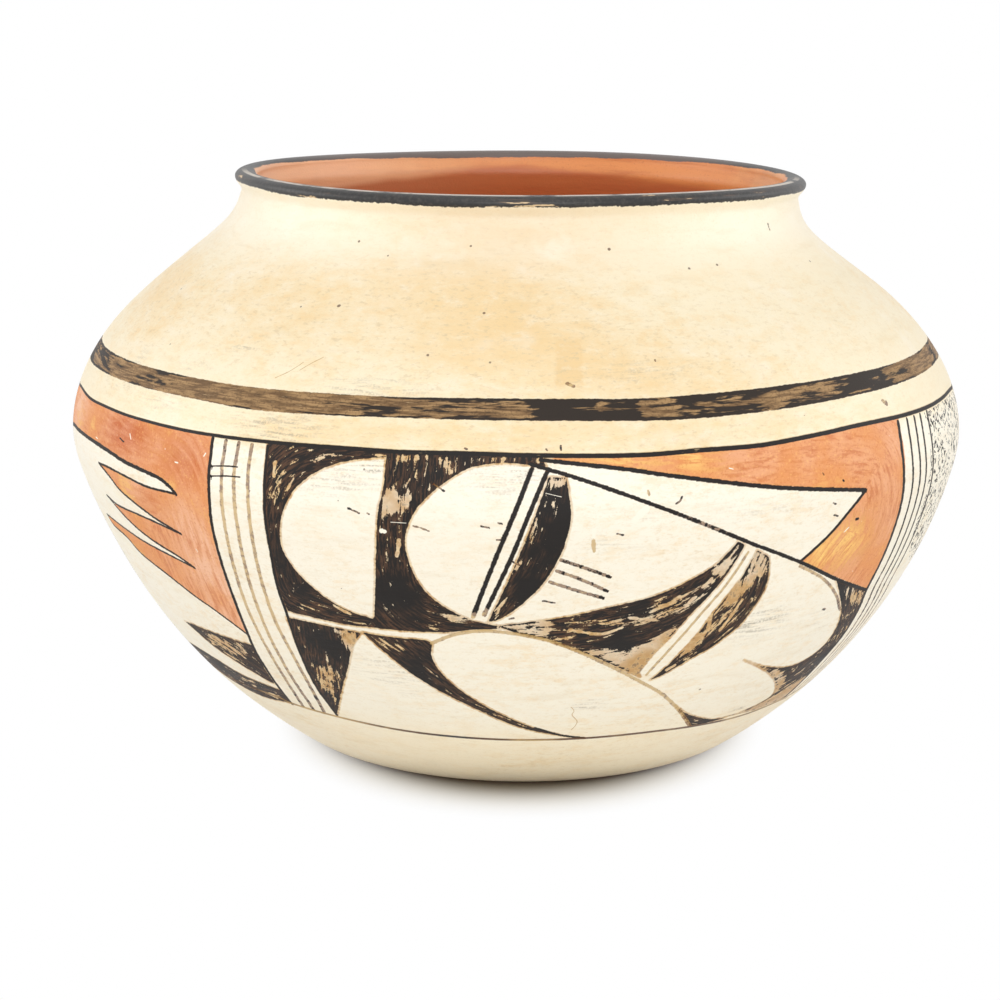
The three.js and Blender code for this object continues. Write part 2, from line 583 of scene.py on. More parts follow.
def draw(kind, path, width, dark):
    """Adds a line of a width in mm, with one darkness or a list of them along the line."""
    counts[kind] += 1
    rows, places = wall_near(path)
    scale = wall_scale[rows]
    near, across, along = beside(places, path)
    total = np.hypot(*np.diff(path, axis=0).T).sum()
    past = np.maximum(np.maximum(-along, along - total), 0) * scale / (width / 2)
    gap = near * scale - width / 2
    past = np.where(gap > LINE_REACH, OFF_LINE, past)
    darks = np.interp(along / total, np.linspace(0, 1, np.size(dark)), np.atleast_1d(dark))
    values = np.column_stack([across * scale / (width / 2), past, darks])
    better = gap < gaps[kind][rows]
    lines[kind][rows[better]] = values[better]
    gaps[kind][rows[better]] = gap[better]


def draw_all(strokes):
    """Draws lines, each given by its kind, width, darkness and picture points."""
    for kind, width, dark, *points in strokes:
        draw(kind, seen(*points), width, dark)
    print("lines so far:", sum(counts[kind] for kind in LINES))


# %% [markdown]
# ## The rings
# Three lines run all the way round: the wide band above the belly, the frame line under it and a
# thin line low on the wall. A ring is simply a height for every way round, so its hand-drawn waver
# is a short list of heights, and the list closes on itself after half a turn.

# %% Rings round the jar
FRAME_WIDTH = {-85: 0.7, -50: 0.75, -30: 0.9, -10: 1.05, 20: 1.15, 50: 1.1, 85: 0.85}
LOW_WIDTH = 1.0
FRAME = seen(
    (78, 381), (89, 397), (105, 406), (136, 418), (194, 432), (270, 442), (360, 449), (406, 452),
    (473, 453.5), (527, 455.3), (600, 455.8), (650, 454.5), (699, 450.3), (760, 445.3), (820, 434),
    (853, 426.3), (899, 416.3), (926, 407.5), (942, 398), (952, 387),
)
BAND_TOP = around(
    (-85.7, 113.0), (-66.5, 113.3), (-44.5, 113.4), (-34, 113.3), (-23, 113.6), (-14, 113.8),
    (-3, 114.1), (7.6, 113.9), (16, 113.6), (30, 113.9), (46, 114.0), (60, 113.9), (74, 114.0),
)
BAND_BOTTOM = around(
    (-84, 107.6), (-66, 108.6), (-43, 108.9), (-33, 108.5), (-22, 109.0), (-14, 109.4),
    (-3, 109.5), (7, 109.3), (18, 108.7), (29, 108.8), (44, 109.3), (54, 109.4), (75, 109.6),
)
LOW_LINE = around(
    (-80, 24), (-60, 25.5), (-43.7, 25.8), (-40, 24.7), (-30.5, 23.6), (-19.5, 22.2), (-10, 21.5),
    (0, 21.1), (11, 21.1), (22, 21.2), (32, 20.6), (43, 20.2), (60, 21.5), (80, 23),
)
BAND_DARK = {
    -85: 0.75, -72: 0.75, -64: 0.3, -45: 0.2, -30: 0.12, -12: 0.45, -4: 0.6, 1: 0.6, 3.5: 1.0,
    9: 1.0, 10: 0.6, 11.5: 0.9, 14: 0.9, 15: 0.35, 18.5: 0.4, 20: 0.75, 29: 0.85, 31: 0.5,
    33: 0.55, 35: 0.85, 41: 0.65, 46: 0.9, 53: 0.9, 55: 0.3, 70: 0.15, 85: 0.5,
}
LOW_DARK = {-50: 0.5, -40: 0.1, -28: 0.1, -18: 0.5, -10: 0.75, 0: 0.45, 10: 0.6, 30: 0.55, 50: 0.3}


def ring(line):
    """The height of a ring on the map, at every vertex of the wall."""
    order = np.argsort(line[:, 0])
    return np.interp(wall_map[:, 0], line[order, 0], line[order, 1], period=MAP_PERIOD)


def round_the_jar(values):
    """A value for every vertex of the wall from a short list of {degrees: value}."""
    degrees = np.degrees(wall_map[:, 0] / MAP_RADIUS)
    return np.interp(degrees, list(values), list(values.values()), period=180)


band_middle = (ring(BAND_TOP) + ring(BAND_BOTTOM)) / 2
band_half = (ring(BAND_TOP) - ring(BAND_BOTTOM)) / 2
frame_gap = (wall_map[:, 1] - ring(FRAME)) * wall_scale / (round_the_jar(FRAME_WIDTH) / 2)
low_gap = (wall_map[:, 1] - ring(LOW_LINE)) * wall_scale / (LOW_WIDTH / 2)
band_gap = (wall_map[:, 1] - band_middle) / band_half
print("the band is", round(2 * float(np.median(band_half)), 1), "mm wide on the map")

# %% [markdown]
# ## The black shapes
# The painter drew an outline, then filled it with a brush of chewed yucca leaf, stroke by stroke.
# Each shape is therefore an outline of a few smooth runs that meet at corners, and, as its last
# row, a brush line that says which way the strokes went. A run starts where the run before it ends,
# and the first one where the last one ends. First come the two big shapes that leave round windows
# of slip.

# %% Black shapes with round windows
WINDOW_SHAPES = [
    [
        [(300, 445), (345, 449), (387, 452)],
        [(387, 457)],
        [(361, 459), (338, 463), (318, 471), (303, 481), (292, 493), (284, 508), (280, 527), (282, 547),
         (291, 564), (306, 581), (325, 597), (347, 610), (374, 619)],
        [(368, 627)],
        [(350, 625), (320, 619), (288, 611)],
        [(278, 584), (270, 547), (265, 515), (265, 476), (268, 442)],
        [(380, 455), (330, 458), (295, 470), (275, 500), (272, 550), (285, 595), (330, 615),
         (370, 623)],
    ],
    [
        [(430, 453), (480, 454), (543, 456)],
        [(546, 467)],
        [(510, 463), (489, 464), (470, 468), (453, 477), (440, 486), (427, 497), (416, 510), (408, 526),
         (405, 541), (408, 558), (416, 578), (430, 596), (450, 610), (471, 620), (487, 624),
         (500, 626)],
        [(500, 629)],
        [(470, 630), (450, 632), (425, 632), (395, 630), (368, 627)],
        [(374, 619)],
        [(375, 599), (376, 550), (378, 512), (383, 489), (387, 452)],
        [(395, 462), (391, 500), (390, 560), (400, 595), (430, 618), (487, 626)],
    ],
]
fill_all("black", WINDOW_SHAPES)

# %% [markdown]
# Next come the leaf between the slanting lines, and the long curved feather that is cut in two by
# three stripes of bare slip. The strokes run the long way in all of them.

# %% Leaf and feather
FEATHERS = [
    [
        [(566, 478)],
        [(569, 495), (571, 517), (566, 541), (557, 562), (541, 586), (520, 606), (500, 619),
         (488, 622)],
        [(500, 598), (516, 563), (532, 524), (549, 477)],
        [(557, 480), (549, 530), (530, 575), (492, 620)],
    ],
    [
        [(530, 622), (566, 617), (602, 609), (632, 602), (660, 594), (690, 580), (715, 565), (733, 547),
         (738, 541)],
        [(745, 545)],
        [(733, 565), (720, 583), (705, 600), (690, 615), (670, 637), (652, 655), (638, 673)],
        [(640, 677)],
        [(620, 668), (595, 657), (570, 648), (545, 640), (520, 634), (497, 626)],
        [(497, 626), (570, 625), (640, 612), (700, 583), (740, 545)],
    ],
    [
        [(670, 663), (695, 637), (712, 614), (732, 590), (745, 572), (757, 550)],
        [(769, 557)],
        [(769, 570), (766, 585), (760, 598), (750, 612), (740, 625), (725, 637), (710, 648), (695, 656),
         (680, 665), (660, 676), (651, 680)],
        [(650, 680)],
        [(763, 555), (745, 600), (700, 645), (652, 679)],
    ],
]
fill_all("black", FEATHERS)

# %% [markdown]
# Low on the wall the shapes are smaller: a hanging triangle, a crescent that thins out into a line,
# the tip where the low lines meet, a leaf whose edge hugs the right stripes, and two pointed wings
# beyond the left ones.

# %% Small black shapes
SMALL_SHAPES = [
    [
        [(310, 622), (333, 627), (361, 633)],
        [(353, 645), (348, 668), (342, 690), (337, 715)],
        [(315, 684), (298, 647), (290, 626), (286, 617)],
        [(325, 625), (332, 670), (337, 714)],
    ],
    [
        [(378, 635), (400, 638), (425, 640), (432, 643)],
        [(432, 657), (440, 671), (455, 686), (480, 703), (505, 716), (535, 728), (570, 737)],
        [(534, 731), (505, 722), (474, 708), (440, 691), (412, 674), (387, 654), (362, 632)],
        [(380, 636), (420, 665), (470, 700), (570, 737)],
    ],
    [
        [(684, 712), (695, 716.5), (710, 719), (726, 717.5)],
        [(706, 723), (690, 726)],
        [(684, 717), (675, 705)],
        [(680, 715), (724, 718)],
    ],
    [
        [(866, 590)],
        [(858, 610), (843, 635), (822, 660), (803, 680), (786, 696), (762, 706), (740, 712)],
        [(758, 704), (772, 695), (776, 686), (772, 676), (760, 667), (744, 660)],
        [(762, 666), (786, 667), (806, 659), (824, 645), (836, 628), (841, 612), (840, 597),
         (836, 580)],
        [(852, 590), (840, 635), (800, 675), (745, 705)],
    ],
    [
        [(210, 631), (235, 640), (252, 645)],
        [(262, 664), (275, 684)],
        [(267, 680), (245, 667), (215, 647), (185, 621)],
        [(190, 626), (235, 655), (272, 682)],
    ],
    [
        [(215, 658), (245, 676), (280, 690)],
        [(291, 703)],
        [(262, 696), (232, 680), (208, 662), (188, 641)],
        [(190, 645), (235, 678), (285, 697)],
    ],
]
fill_all("black", SMALL_SHAPES)

# %% [markdown]
# ## The red shapes
# Red is an iron-rich clay, brushed on thinly: on the left a hand with white gaps between its
# fingers, on the right a long wedge that turns down beside the stripes. The upper and the lower
# edges of the fingers are named, because the black lines that edge them later follow them too.

# %% Red shapes
FINGER_EDGES = [
    ((73, 423), (80, 431), (92, 440), (110, 452), (125, 462), (142, 470), (157, 477), (168, 485),
     (176, 494)),
    ((99, 463), (110, 477), (120, 490), (135, 503), (155, 518), (181, 534)),
    ((107, 495), (122, 513), (135, 526), (147, 536), (160, 545), (178, 556), (195, 568)),
    ((107, 514), (114, 525), (127, 537), (142, 554), (167, 574), (195, 596), (215, 610), (247, 634)),
]
FINGER_TOPS = [
    ((99, 463), (108, 467), (127, 477), (148, 487), (176, 494)),
    ((107, 495), (118, 505), (135, 513), (153, 521), (181, 534)),
    ((107, 514), (122, 526), (142, 540), (160, 550), (195, 568)),
]
RED_SHAPES = [
    [
        [(80, 384), (90, 398), (106, 407), (136, 418), (175, 427.5), (212, 435)],
        [(209, 476), (210, 507), (214, 530), (223, 564), (236, 604), (247, 634)],
        FINGER_EDGES[3][-2::-1],
        FINGER_TOPS[2][1:],
        [(178, 556), (160, 545), (147, 536), (135, 526), (122, 513), (112, 500), (107, 495)],
        FINGER_TOPS[1][1:],
        FINGER_EDGES[1][-2::-1],
        FINGER_TOPS[0][1:],
        FINGER_EDGES[0][-2::-1],
        [(72, 402), (76, 379)],
        [(80, 400), (120, 435), (170, 462), (190, 500), (215, 570), (240, 625)],
    ],
    [
        [(600, 456), (650, 455), (699, 451), (760, 446), (853, 427), (898, 417)],
        [(904, 450), (905, 475), (902, 500), (894, 530), (882, 560), (866, 589)],
        [(836, 577), (802, 561)],
        [(828, 536), (853, 508), (866, 491)],
        [(836, 489), (786, 486), (760, 485), (682, 476), (616, 467), (541, 458)],
        [(541, 459), (700, 466), (850, 455), (885, 475), (880, 530), (850, 575)],
    ],
]
fill_all("red", RED_SHAPES)

# %% [markdown]
# ## The lines
# Lines are laid last, with one long stroke each. They are sorted into kinds by how they meet: two
# lines that cross or touch go into different kinds, so that the distance to one never blurs the
# other. Dashes are a kind of their own, and so are open strokes, which leave bare slip in the black.

# %% Lines of the main panel
FADING = [1] * 13 + [0.1]
draw_all([
    ("bold", 1.05, FADING, (532, 469), (515, 512), (500, 548), (485, 585), (473, 617)),
    ("bold", 1.0, FADING, (547.5, 471), (530, 512), (512.5, 555), (497.5, 587), (484, 615)),
    ("cross", 0.95, 1, (530, 464), (583, 480), (649, 503)),
    ("cross", 0.95, [1, 0.75, 0.6, 0.6, 0.8, 1], (649, 503), (699, 522), (753, 544)),
    ("cross", 0.95, 1, (753, 544), (800, 562), (836, 579), (866, 590)),
    ("bold", 1.0, 1, (541, 460), (616, 468), (682, 477), (760, 486), (810, 489), (866, 490)),
    ("bold", 0.9, 1, (866, 490), (852, 508), (828, 536), (800, 562)),
])
PRONGS = [
    ((561, 560), (585, 568), (610, 577)),
    ((557, 571), (580, 579), (607, 591)),
    ((550, 582), (575, 590), (603, 598)),
]
BACK = (-3, -1)
for prong in PRONGS:
    draw("thin", seen(*prong), 0.85, 0.46)
    tip = prong[-1]
    draw("cross", seen(tip, (tip[0] + BACK[0], tip[1] + BACK[1])), 0.8, 1)
draw_all([
    ("thin", 0.95, [0.1, 0.12, 0.12, 0.12, 0.3], (432, 643), (457, 634), (486, 631), (515, 634),
     (542, 639), (572, 649), (610, 666), (639, 681), (662, 694), (677, 708), (684, 717), (690, 726)),
    ("thin", 0.8, [0.1, 0.3, 0.5], (800, 566), (822, 578), (835, 593), (840, 610)),
    ("open", 0.4, 1, (748, 548), (738, 564), (722, 587), (706, 606), (680, 636), (646, 675)),
    ("thin", 0.7, 0.1, (748, 552), (738, 568), (722, 590), (706, 608), (680, 638), (646, 675)),
    ("thin", 0.9, 1, (535, 728), (560, 735), (585, 738)),
    ("thin", 0.8, 0.15, (724, 717), (760, 708), (786, 698)),
])

# %% [markdown]
# Two sets of stripes part the panels. The left one has a black line at each side, three worn tan
# ones between and two hair lines across; the right one has five thin lines side by side that follow
# the same curve.

# %% Lines of the stripes
TAN = [0.5, 0.1, 0.22, 0.05, 0.2, 0.42, 0.5]
draw_all([
    ("bold", 0.95, 1, (213, 438), (209, 476), (210, 507), (213, 530), (222, 564), (236, 604),
     (246, 629), (256, 652), (275, 682), (292, 704)),
    ("bold", 0.85, 1, (268, 446), (265, 476), (265, 515), (270, 547), (277, 584), (287, 614),
     (298, 647), (315, 684), (337, 715)),
    ("thin", 1.0, TAN, (226, 441), (222, 469), (222, 504), (228, 542), (239, 584), (254, 623),
     (278, 667), (303, 706)),
    ("thin", 1.0, TAN, (239, 443), (234, 476), (235, 507), (241, 547), (251, 587), (266, 628),
     (288, 671), (314, 710)),
    ("thin", 1.0, TAN, (252, 445), (248, 476), (250, 522), (259, 571), (273, 615), (293, 655),
     (325, 713)),
    ("bold", 0.35, 0.9, (212, 466), (226, 466), (238, 467)),
    ("bold", 0.35, 0.9, (210, 476), (226, 476), (240, 477)),
])
RIGHT_STRIPE = seen(
    (898, 422), (902, 450), (904, 475), (902, 499), (894, 529), (882, 559), (866, 591),
    (858, 610), (843, 635), (822, 660), (803, 680), (786, 696),
)
RIGHT_TURNS = [2.3, 4.3, 6.1, 8.4]


def turned_on(path, degrees):
    """A path on the map, moved round the jar."""
    return path + [math.radians(degrees) * MAP_RADIUS, 0]


draw("thin", RIGHT_STRIPE, 1.2, [1, 1, 0.9, 0.8])
for degrees in RIGHT_TURNS:
    draw("thin", turned_on(RIGHT_STRIPE, degrees), 0.92, [1, 1, 0.6, 0.35, 0.25])
print("thin lines:", counts["thin"])

# %% [markdown]
# The red hand has a thin black edge round each finger. Beyond the right stripes lies a panel filled
# with small black squiggles, with a crescent below it and stripes at its far side, all of them in
# the manner of the rest.

# %% Edges of the hand, and the far panels
draw("cross", seen(*FINGER_EDGES[0]), 1.0, 1)
for edge in FINGER_EDGES[1:]:
    draw("cross", seen(*edge), 0.7, 0.9)
for edge in FINGER_TOPS:
    draw("thin", seen(*edge), 0.6, 0.9)
FAR_EDGE = around(
    (-82, 101), (-79, 92), (-76.3, 84), (-73, 70), (-70.6, 55), (-70, 42), (-66, 32), (-62, 26)
)
FAR_TURNS = [-1.8, -3.6, -5.4, -7.2]
draw("bold", FAR_EDGE, 0.9, 1)
for degrees in FAR_TURNS[:-1]:
    draw("thin", turned_on(FAR_EDGE, degrees), 0.7, 0.12)
draw("bold", turned_on(FAR_EDGE, FAR_TURNS[-1]), 0.85, 1)
DOTTED_PANEL = around(
    (59.7, 101.5), (59.5, 90), (59.8, 80), (60.5, 70), (63, 62), (71, 54), (80, 50), (90, 52),
    (96, 60), (97, 70), (95.5, 80), (92.5, 90), (90, 101.5),
)
fill("dotted", DOTTED_PANEL, DOTTED_PANEL[:2])
CRESCENT_TOP = around((70.5, 51), (78, 46), (86, 45), (94, 48), (100, 54))
CRESCENT_FOOT = around((100, 54), (96, 44), (88, 38), (78, 39), (70.5, 51))
crescent = np.vstack([CRESCENT_TOP, CRESCENT_FOOT])
fill("black", crescent, around((70, 50), (85, 41), (100, 53)))
print("areas measured:", sum(counts[area] for area in AREAS))

# %% [markdown]
# ## Worn places
# Where the black has rubbed off, the clay keeps a tan stain. These are the worn patches of the
# picture, and the slip-white strokes that show between the painter's black ones.

# %% Worn patches and open strokes
RUB_REACH = 1.6
WORN = [
    (1.0, [(545, 640), (575, 650), (600, 648), (625, 650), (645, 644), (660, 635), (678, 624),
           (672, 636), (655, 654), (640, 677), (620, 668), (595, 657), (570, 648)]),
    (0.8, [(496, 622), (520, 621), (548, 619), (553, 626), (546, 637), (520, 633), (498, 629)]),
    (0.28, [(664, 662), (684, 638), (705, 612), (730, 584), (748, 566), (756, 574), (742, 600),
            (718, 626), (692, 650)]),
    (0.9, [(728, 588), (750, 572), (754, 578), (744, 592), (730, 606), (722, 604)]),
    (0.8, [(672, 652), (690, 632), (704, 634), (700, 642), (684, 655)]),
    (0.45, [(600, 622), (650, 608), (690, 590), (715, 578), (705, 596), (680, 612), (640, 628)]),
    (0.5, [(448, 600), (468, 610), (488, 621), (484, 626), (464, 624), (440, 616)]),
    (0.4, [(318, 450), (350, 452), (386, 453), (366, 458), (340, 461), (318, 463), (308, 456)]),
    (0.12, [(268, 462), (276, 462), (296, 476), (288, 492), (278, 506), (270, 496)]),
    (0.75, [(738, 541), (746, 545), (733, 565), (725, 577), (712, 574), (713, 562), (722, 553)]),
    (0.85, [(757, 549), (771, 557), (769, 574), (760, 576), (750, 573), (742, 577), (748, 562)]),
    (1.0, [(549, 476), (567, 477), (569, 489), (563, 486), (557, 490), (551, 487), (546, 484)]),
    (0.3, [(548, 482), (569, 482), (571, 505), (560, 512), (545, 510), (538, 508)]),
    (0.6, [(546, 482), (550, 485), (540, 518), (522, 560), (504, 598), (496, 616), (489, 621),
           (500, 596), (516, 560), (532, 522)]),
    (1.0, [(384, 490), (395, 488), (403, 495), (412, 490), (408, 506), (398, 512), (382, 516),
           (380, 502)]),
    (0.5, [(207, 634), (222, 638), (240, 644), (248, 656), (238, 655), (222, 647)]),
    (0.4, [(316, 668), (328, 664), (336, 676), (336, 692), (328, 690), (318, 676)]),
    (0.95, [(744, 660), (762, 667), (780, 670), (784, 680), (776, 692), (764, 696), (766, 680),
            (758, 669)]),
    (0.5, [(838, 580), (866, 590), (862, 602), (848, 602)]),
    (0.7, [(330, 627), (361, 632), (356, 644), (350, 660), (346, 648), (336, 636)]),
    (0.45, [(436, 455), (480, 456), (534, 458), (536, 467), (505, 463), (470, 466), (446, 474)]),
    (0.5, [(396, 454), (440, 455), (430, 459), (410, 460), (398, 462)]),
    (0.35, [(535, 457), (546, 457), (548, 468), (534, 468)]),
    (0.95, [(738, 713), (770, 699), (790, 686), (806, 676), (802, 686), (786, 699), (762, 708)]),
]
wear = np.zeros(len(wall_map))
for strength, outline in WORN:
    outline = seen(*outline, outline[0])[:-1]
    rows, places = wall_near(outline)
    depth = 0.5 - within(places, outline) * wall_scale[rows] / RUB_REACH
    wear[rows] = np.maximum(wear[rows], strength * np.clip(depth, 0, 1))
OPEN_STROKES = [
    ((703, 587), (712, 579)),
    ((689, 602), (696, 597)),
    ((668, 605), (680, 596)),
    ((650, 612), (672, 603)),
    ((630, 618), (655, 620)),
    ((570, 630), (600, 634), (622, 628)),
    ((742, 592), (752, 583)),
    ((742, 600), (731, 616), (720, 630)),
    ((712, 612), (708, 628)),
    ((698, 640), (706, 632)),
    ((688, 651), (695, 644)),
    ((667, 670), (675, 665)),
    ((399, 540), (398, 550), (397, 556)),
    ((335, 606), (350, 614)),
    ((275, 462), (274, 476)),
    ((456, 594), (464, 603)),
    ((450, 619), (462, 617)),
    ((443, 655), (455, 663)),
]
for stroke in OPEN_STROKES:
    draw("open", seen(*stroke), 0.9, 1)
print("worn patches and open strokes:", len(WORN), len(OPEN_STROKES))

# %% [markdown]
# ## Small marks
# Short dark dashes are scattered over the slip where a loaded brush touched it or where a speck of
# temper burnt out, and small chips show the white beneath. They are tiny lines, drawn like the
# others; a chip is told apart by a darkness far below that of tan.

# %% Dashes, marks and chips
DASHES = [
    ((348, 508), (359, 513)), ((367, 513), (369, 514)), ((413, 526), (418, 527)),
    ((421, 528), (429, 531)), ((432, 483), (444, 491)), ((481, 526), (489, 528)),
    ((497, 540), (500, 540)), ((617, 534), (623, 535)), ((543, 601), (555, 603)),
    ((676, 504), (680, 501), (682, 497)), ((833, 503), (836, 504)), ((834, 515), (838, 516)),
    ((561, 446), (561, 450)), ((546, 449), (547, 450)), ((465, 448), (467, 449)),
    ((509, 619), (514, 618)), ((513, 562), (519, 565)), ((498, 523), (502, 524)),
]
MARKS = [
    (0.2, -0.3, (571, 707), (574, 711), (572, 715), (577, 721), (575, 726), (571, 730)),
    (0.5, 0.1, (196, 322), (203, 313), (214, 306)),
    (0.2, -0.45, (275, 378), (290, 371), (304, 362)),
    (0.2, -0.4, (300, 370), (312, 363), (324, 357)),
    (0.5, 0.3, (742, 331), (744, 332)),
    (0.4, 0.5, (650, 358), (654, 357), (655, 361)),
    (0.9, 0.3, (568, 384), (573, 386)),
    (0.9, 0.6, (580, 356), (582, 358)),
    (0.9, -0.1, (593.5, 541), (594, 551)),
    (0.5, 0.1, (648, 491), (649, 495)),
    (0.7, 0.8, (856, 519), (858, 519)),
    (0.7, 0.4, (823, 609), (825, 609)),
    (1.2, 0.3, (883, 401), (886, 403)),
    (0.5, 0.9, (561, 777), (563, 777)),
    (0.4, 0.7, (120, 438), (124, 442)),
    (0.35, 0.6, (823, 473), (824, 475)),
    (0.5, 0.8, (843, 480), (844, 481)),
]
CHIPS = [
    (1.8, (635, 520), (641, 514), (647, 509)),
    (0.9, (594, 530), (594, 536)),
    (1.25, (381.5, 530.8), (384.5, 531.6)),
    (0.12, (545, 493), (562, 497)),
    (0.14, (390, 522), (407, 523)),
    (0.35, (130, 434), (131, 439)),
    (0.3, (204, 456), (206, 453)),
    (0.35, (175, 462), (178, 463)),
    (0.3, (96, 437), (98, 439)),
    (0.7, (656, 417), (659, 418)),
    (0.25, (729, 468), (733, 469)),
    (0.25, (196, 549), (198, 552)),
    (0.3, (844, 532), (849, 527)),
]
for dash in DASHES:
    draw("dash", seen(*dash), 0.45, 0.55)
for width, dark, *path in MARKS:
    draw("dash", seen(*path), width, dark)
for width, *path in CHIPS:
    draw("dash", seen(*path), width, -2)
print("dashes, marks and chips:", counts["dash"])

# %% [markdown]
# ## Clouds and scuffs
# The slip took on yellow clouds in the fire, mostly on the shoulder, and grey scuffs where the jar
# rubbed against others; the red is deeper, pinker or more golden here and there. All are soft
# patches with a middle, a size and a strength, and have faded out at three times their size; the
# materials break them up with noise.

# %% Clouds and scuffs
FADED_OUT = 3
CLOUDS = [
    (-8, 105, 26, 5, 0.75), (30, 106, 20, 4, 0.25), (-52, 106, 16, 4, 0.3), (-22, 139, 26, 8, 0.35),
    (-2, 128, 20, 15, 0.95), (-42, 130, 20, 11, 0.4), (-66, 124, 16, 9, 0.35), (22, 116, 18, 7, 0.4),
    (48, 128, 20, 8, 0.1), (-14, 150, 22, 3, 0.4), (8, 149, 14, 3, 0.3), (-78, 132, 14, 7, 0.5),
    (13, 122, 7, 6, 0.2), (110, 126, 24, 10, 0.8),
    (172, 128, 30, 12, 0.7), (-125, 122, 22, 9, 0.6),
]
SCUFFS = [
    ((757, 622), (9, 5), 1.0), ((330, 483), (9, 3), 0.7), ((278, 428), (12, 4), 0.9),
    ((368, 469), (6, 3), 1.0), ((244, 345), (4, 3), 0.6), ((195, 367), (6, 2), 0.4),
    ((375, 388), (11, 3), 0.8), ((392, 672), (10, 8), 0.5), ((770, 508), (16, 3), 0.3),
    ((508, 473), (9, 5), 0.9), ((588, 705), (4, 2), 0.9), ((160, 400), (9, 4), 0.4),
    ((640, 372), (12, 3), 0.4), ((820, 620), (8, 6), 0.3), ((270, 338), (9, 3), 0.5),
    ((738, 709), (3, 1.2), 0.9), ((120, 380), (8, 3), 0.6), ((610, 545), (7, 3), 0.35),
    ((650, 517), (5, 1), 0.4), ((141, 357), (3, 3), 0.5),
]
DEEP_PLACES = [((125, 434), (14, 7), 1.1), ((185, 458), (10, 7), 0.9), ((150, 500), (7, 5), 0.4)]
PINK_PLACES = [
    ((82, 398), (9, 9), 1.3), ((195, 540), (9, 12), 0.9), ((225, 598), (9, 11), 1.3),
    ((895, 440), (5, 6), 0.6), ((890, 520), (5, 7), 0.5), ((130, 480), (7, 5), 0.7),
]
GOLD_PLACES = [
    ((842, 545), (9, 7), 1.2), ((620, 461), (12, 3), 0.8), ((700, 463), (9, 4), 0.4),
    ((168, 447), (9, 4), 0.15),
]


def soft_patch(side, up, wide, high):
    """A patch that is 1 in its middle and fades out over its two half sizes."""
    return np.exp(-((side / wide) ** 2) - (up / high) ** 2)


def clouds(turn, height):
    """How strongly the fire clouded the slip at turns in radians and heights in mm."""
    total = np.zeros(len(turn))
    for degrees, middle, wide, high, strength in CLOUDS:
        side = (np.degrees(turn) - degrees + 180) % 360 - 180
        total += strength * soft_patch(side, height - middle, wide, high)
    return total


def spread(spots):
    """The sum of soft patches at picture points, at every vertex of the wall."""
    total = np.zeros(len(wall_map))
    for pixel, (wide, high), strength in spots:
        spot = seen(pixel)
        rows, places = wall_near(spot, FADED_OUT * max(wide, high))
        side, up = (places - spot[0]).T * wall_scale[rows]
        total[rows] += strength * soft_patch(side, up, wide, high)
    return total


scuffed = spread(SCUFFS)
red_tones = np.column_stack([spread(DEEP_PLACES), spread(PINK_PLACES), spread(GOLD_PLACES)])
print("clouds and scuffs:", len(CLOUDS), len(SCUFFS))

# %% [markdown]
# ## Unrolling the courses
# A course is a long ribbon once it is unrolled. Its map cuts the ribbon into six strips, one above
# the other, and gives the outer face most of each strip, since the inner face carries no pattern.

# %% Map of each course
STRIPS = 6
STRIP_MARGIN = 0.02
INNER_SHARE = 0.2


def corner_vertices(mesh):
    """The number of the vertex at every corner of every face."""
    corners = np.empty(len(mesh.loops), np.int32)
    mesh.loops.foreach_get("vertex_index", corners)
    return corners


def unroll(mesh, line, number, turn, last, columns):
    """Gives a ring its flat map, in strips, with the wall's outer face drawn larger."""
    corners = corner_vertices(mesh)
    row = number[corners].reshape(-1, 4)
    step = np.rint(turn[corners] * columns / (2 * math.pi)).astype(int).reshape(-1, 4) % columns
    step = np.where((np.ptp(step, axis=1) > 1)[:, None] & (step == 0), columns, step)
    row = np.where((np.ptp(row, axis=1) > 1)[:, None] & (row == 0), len(line), row)
    sizes = np.hypot(*(np.roll(line, -1, axis=0) - line).T)
    sizes[last - 1 :] *= INNER_SHARE
    height = np.concatenate([[0], np.cumsum(sizes)]) / sizes.sum()
    per_strip = columns // STRIPS
    strip = (step.min(axis=1) // per_strip)[:, None]
    across = STRIP_MARGIN / 4 + (step - strip * per_strip) / per_strip * (1 - STRIP_MARGIN / 2)
    up = (strip + STRIP_MARGIN + height[row] * (1 - 2 * STRIP_MARGIN)) / STRIPS
    flat = mesh.uv_layers.new(name="OFBake")
    flat.data.foreach_set("uv", np.stack([across, up], axis=2).astype(np.float32).ravel())


print("strips in the map of each ring:", STRIPS)

# %% [markdown]
# ## Placing the courses
# Every vertex goes to its clean place on the true jar and is then bent by the one function of the
# hand. The distances to the paint go onto the vertices as attributes. Smooth shading hides the
# small flat faces, and only the rims of the seams stay sharp.

# %% Attributes and places
ATTRIBUTE_KINDS = {1: ("FLOAT", "value"), 3: ("FLOAT_VECTOR", "vector"), 4: ("FLOAT_COLOR", "color")}
rings = np.column_stack([frame_gap, low_gap, band_gap, round_the_jar(BAND_DARK)])
wall_fields = {
    "black_area": areas["black"],
    "red_area": areas["red"],
    "wear": wear,
    "dotted_area": areas["dotted"][:, 0],
    **{kind + "_line": lines[kind] for kind in LINES},
    "rings": rings,
    "low_dark": round_the_jar(LOW_DARK),
    "scuff": scuffed,
    "red_tones": red_tones,
}


def give(mesh, name, values):
    """Puts one number or a row of them on every vertex, under a name that a material can read."""
    kind, key = ATTRIBUTE_KINDS[values.size // len(values)]
    attribute = mesh.attributes.new(name, kind, "POINT")
    attribute.data.foreach_set(key, values.astype(np.float32).ravel())


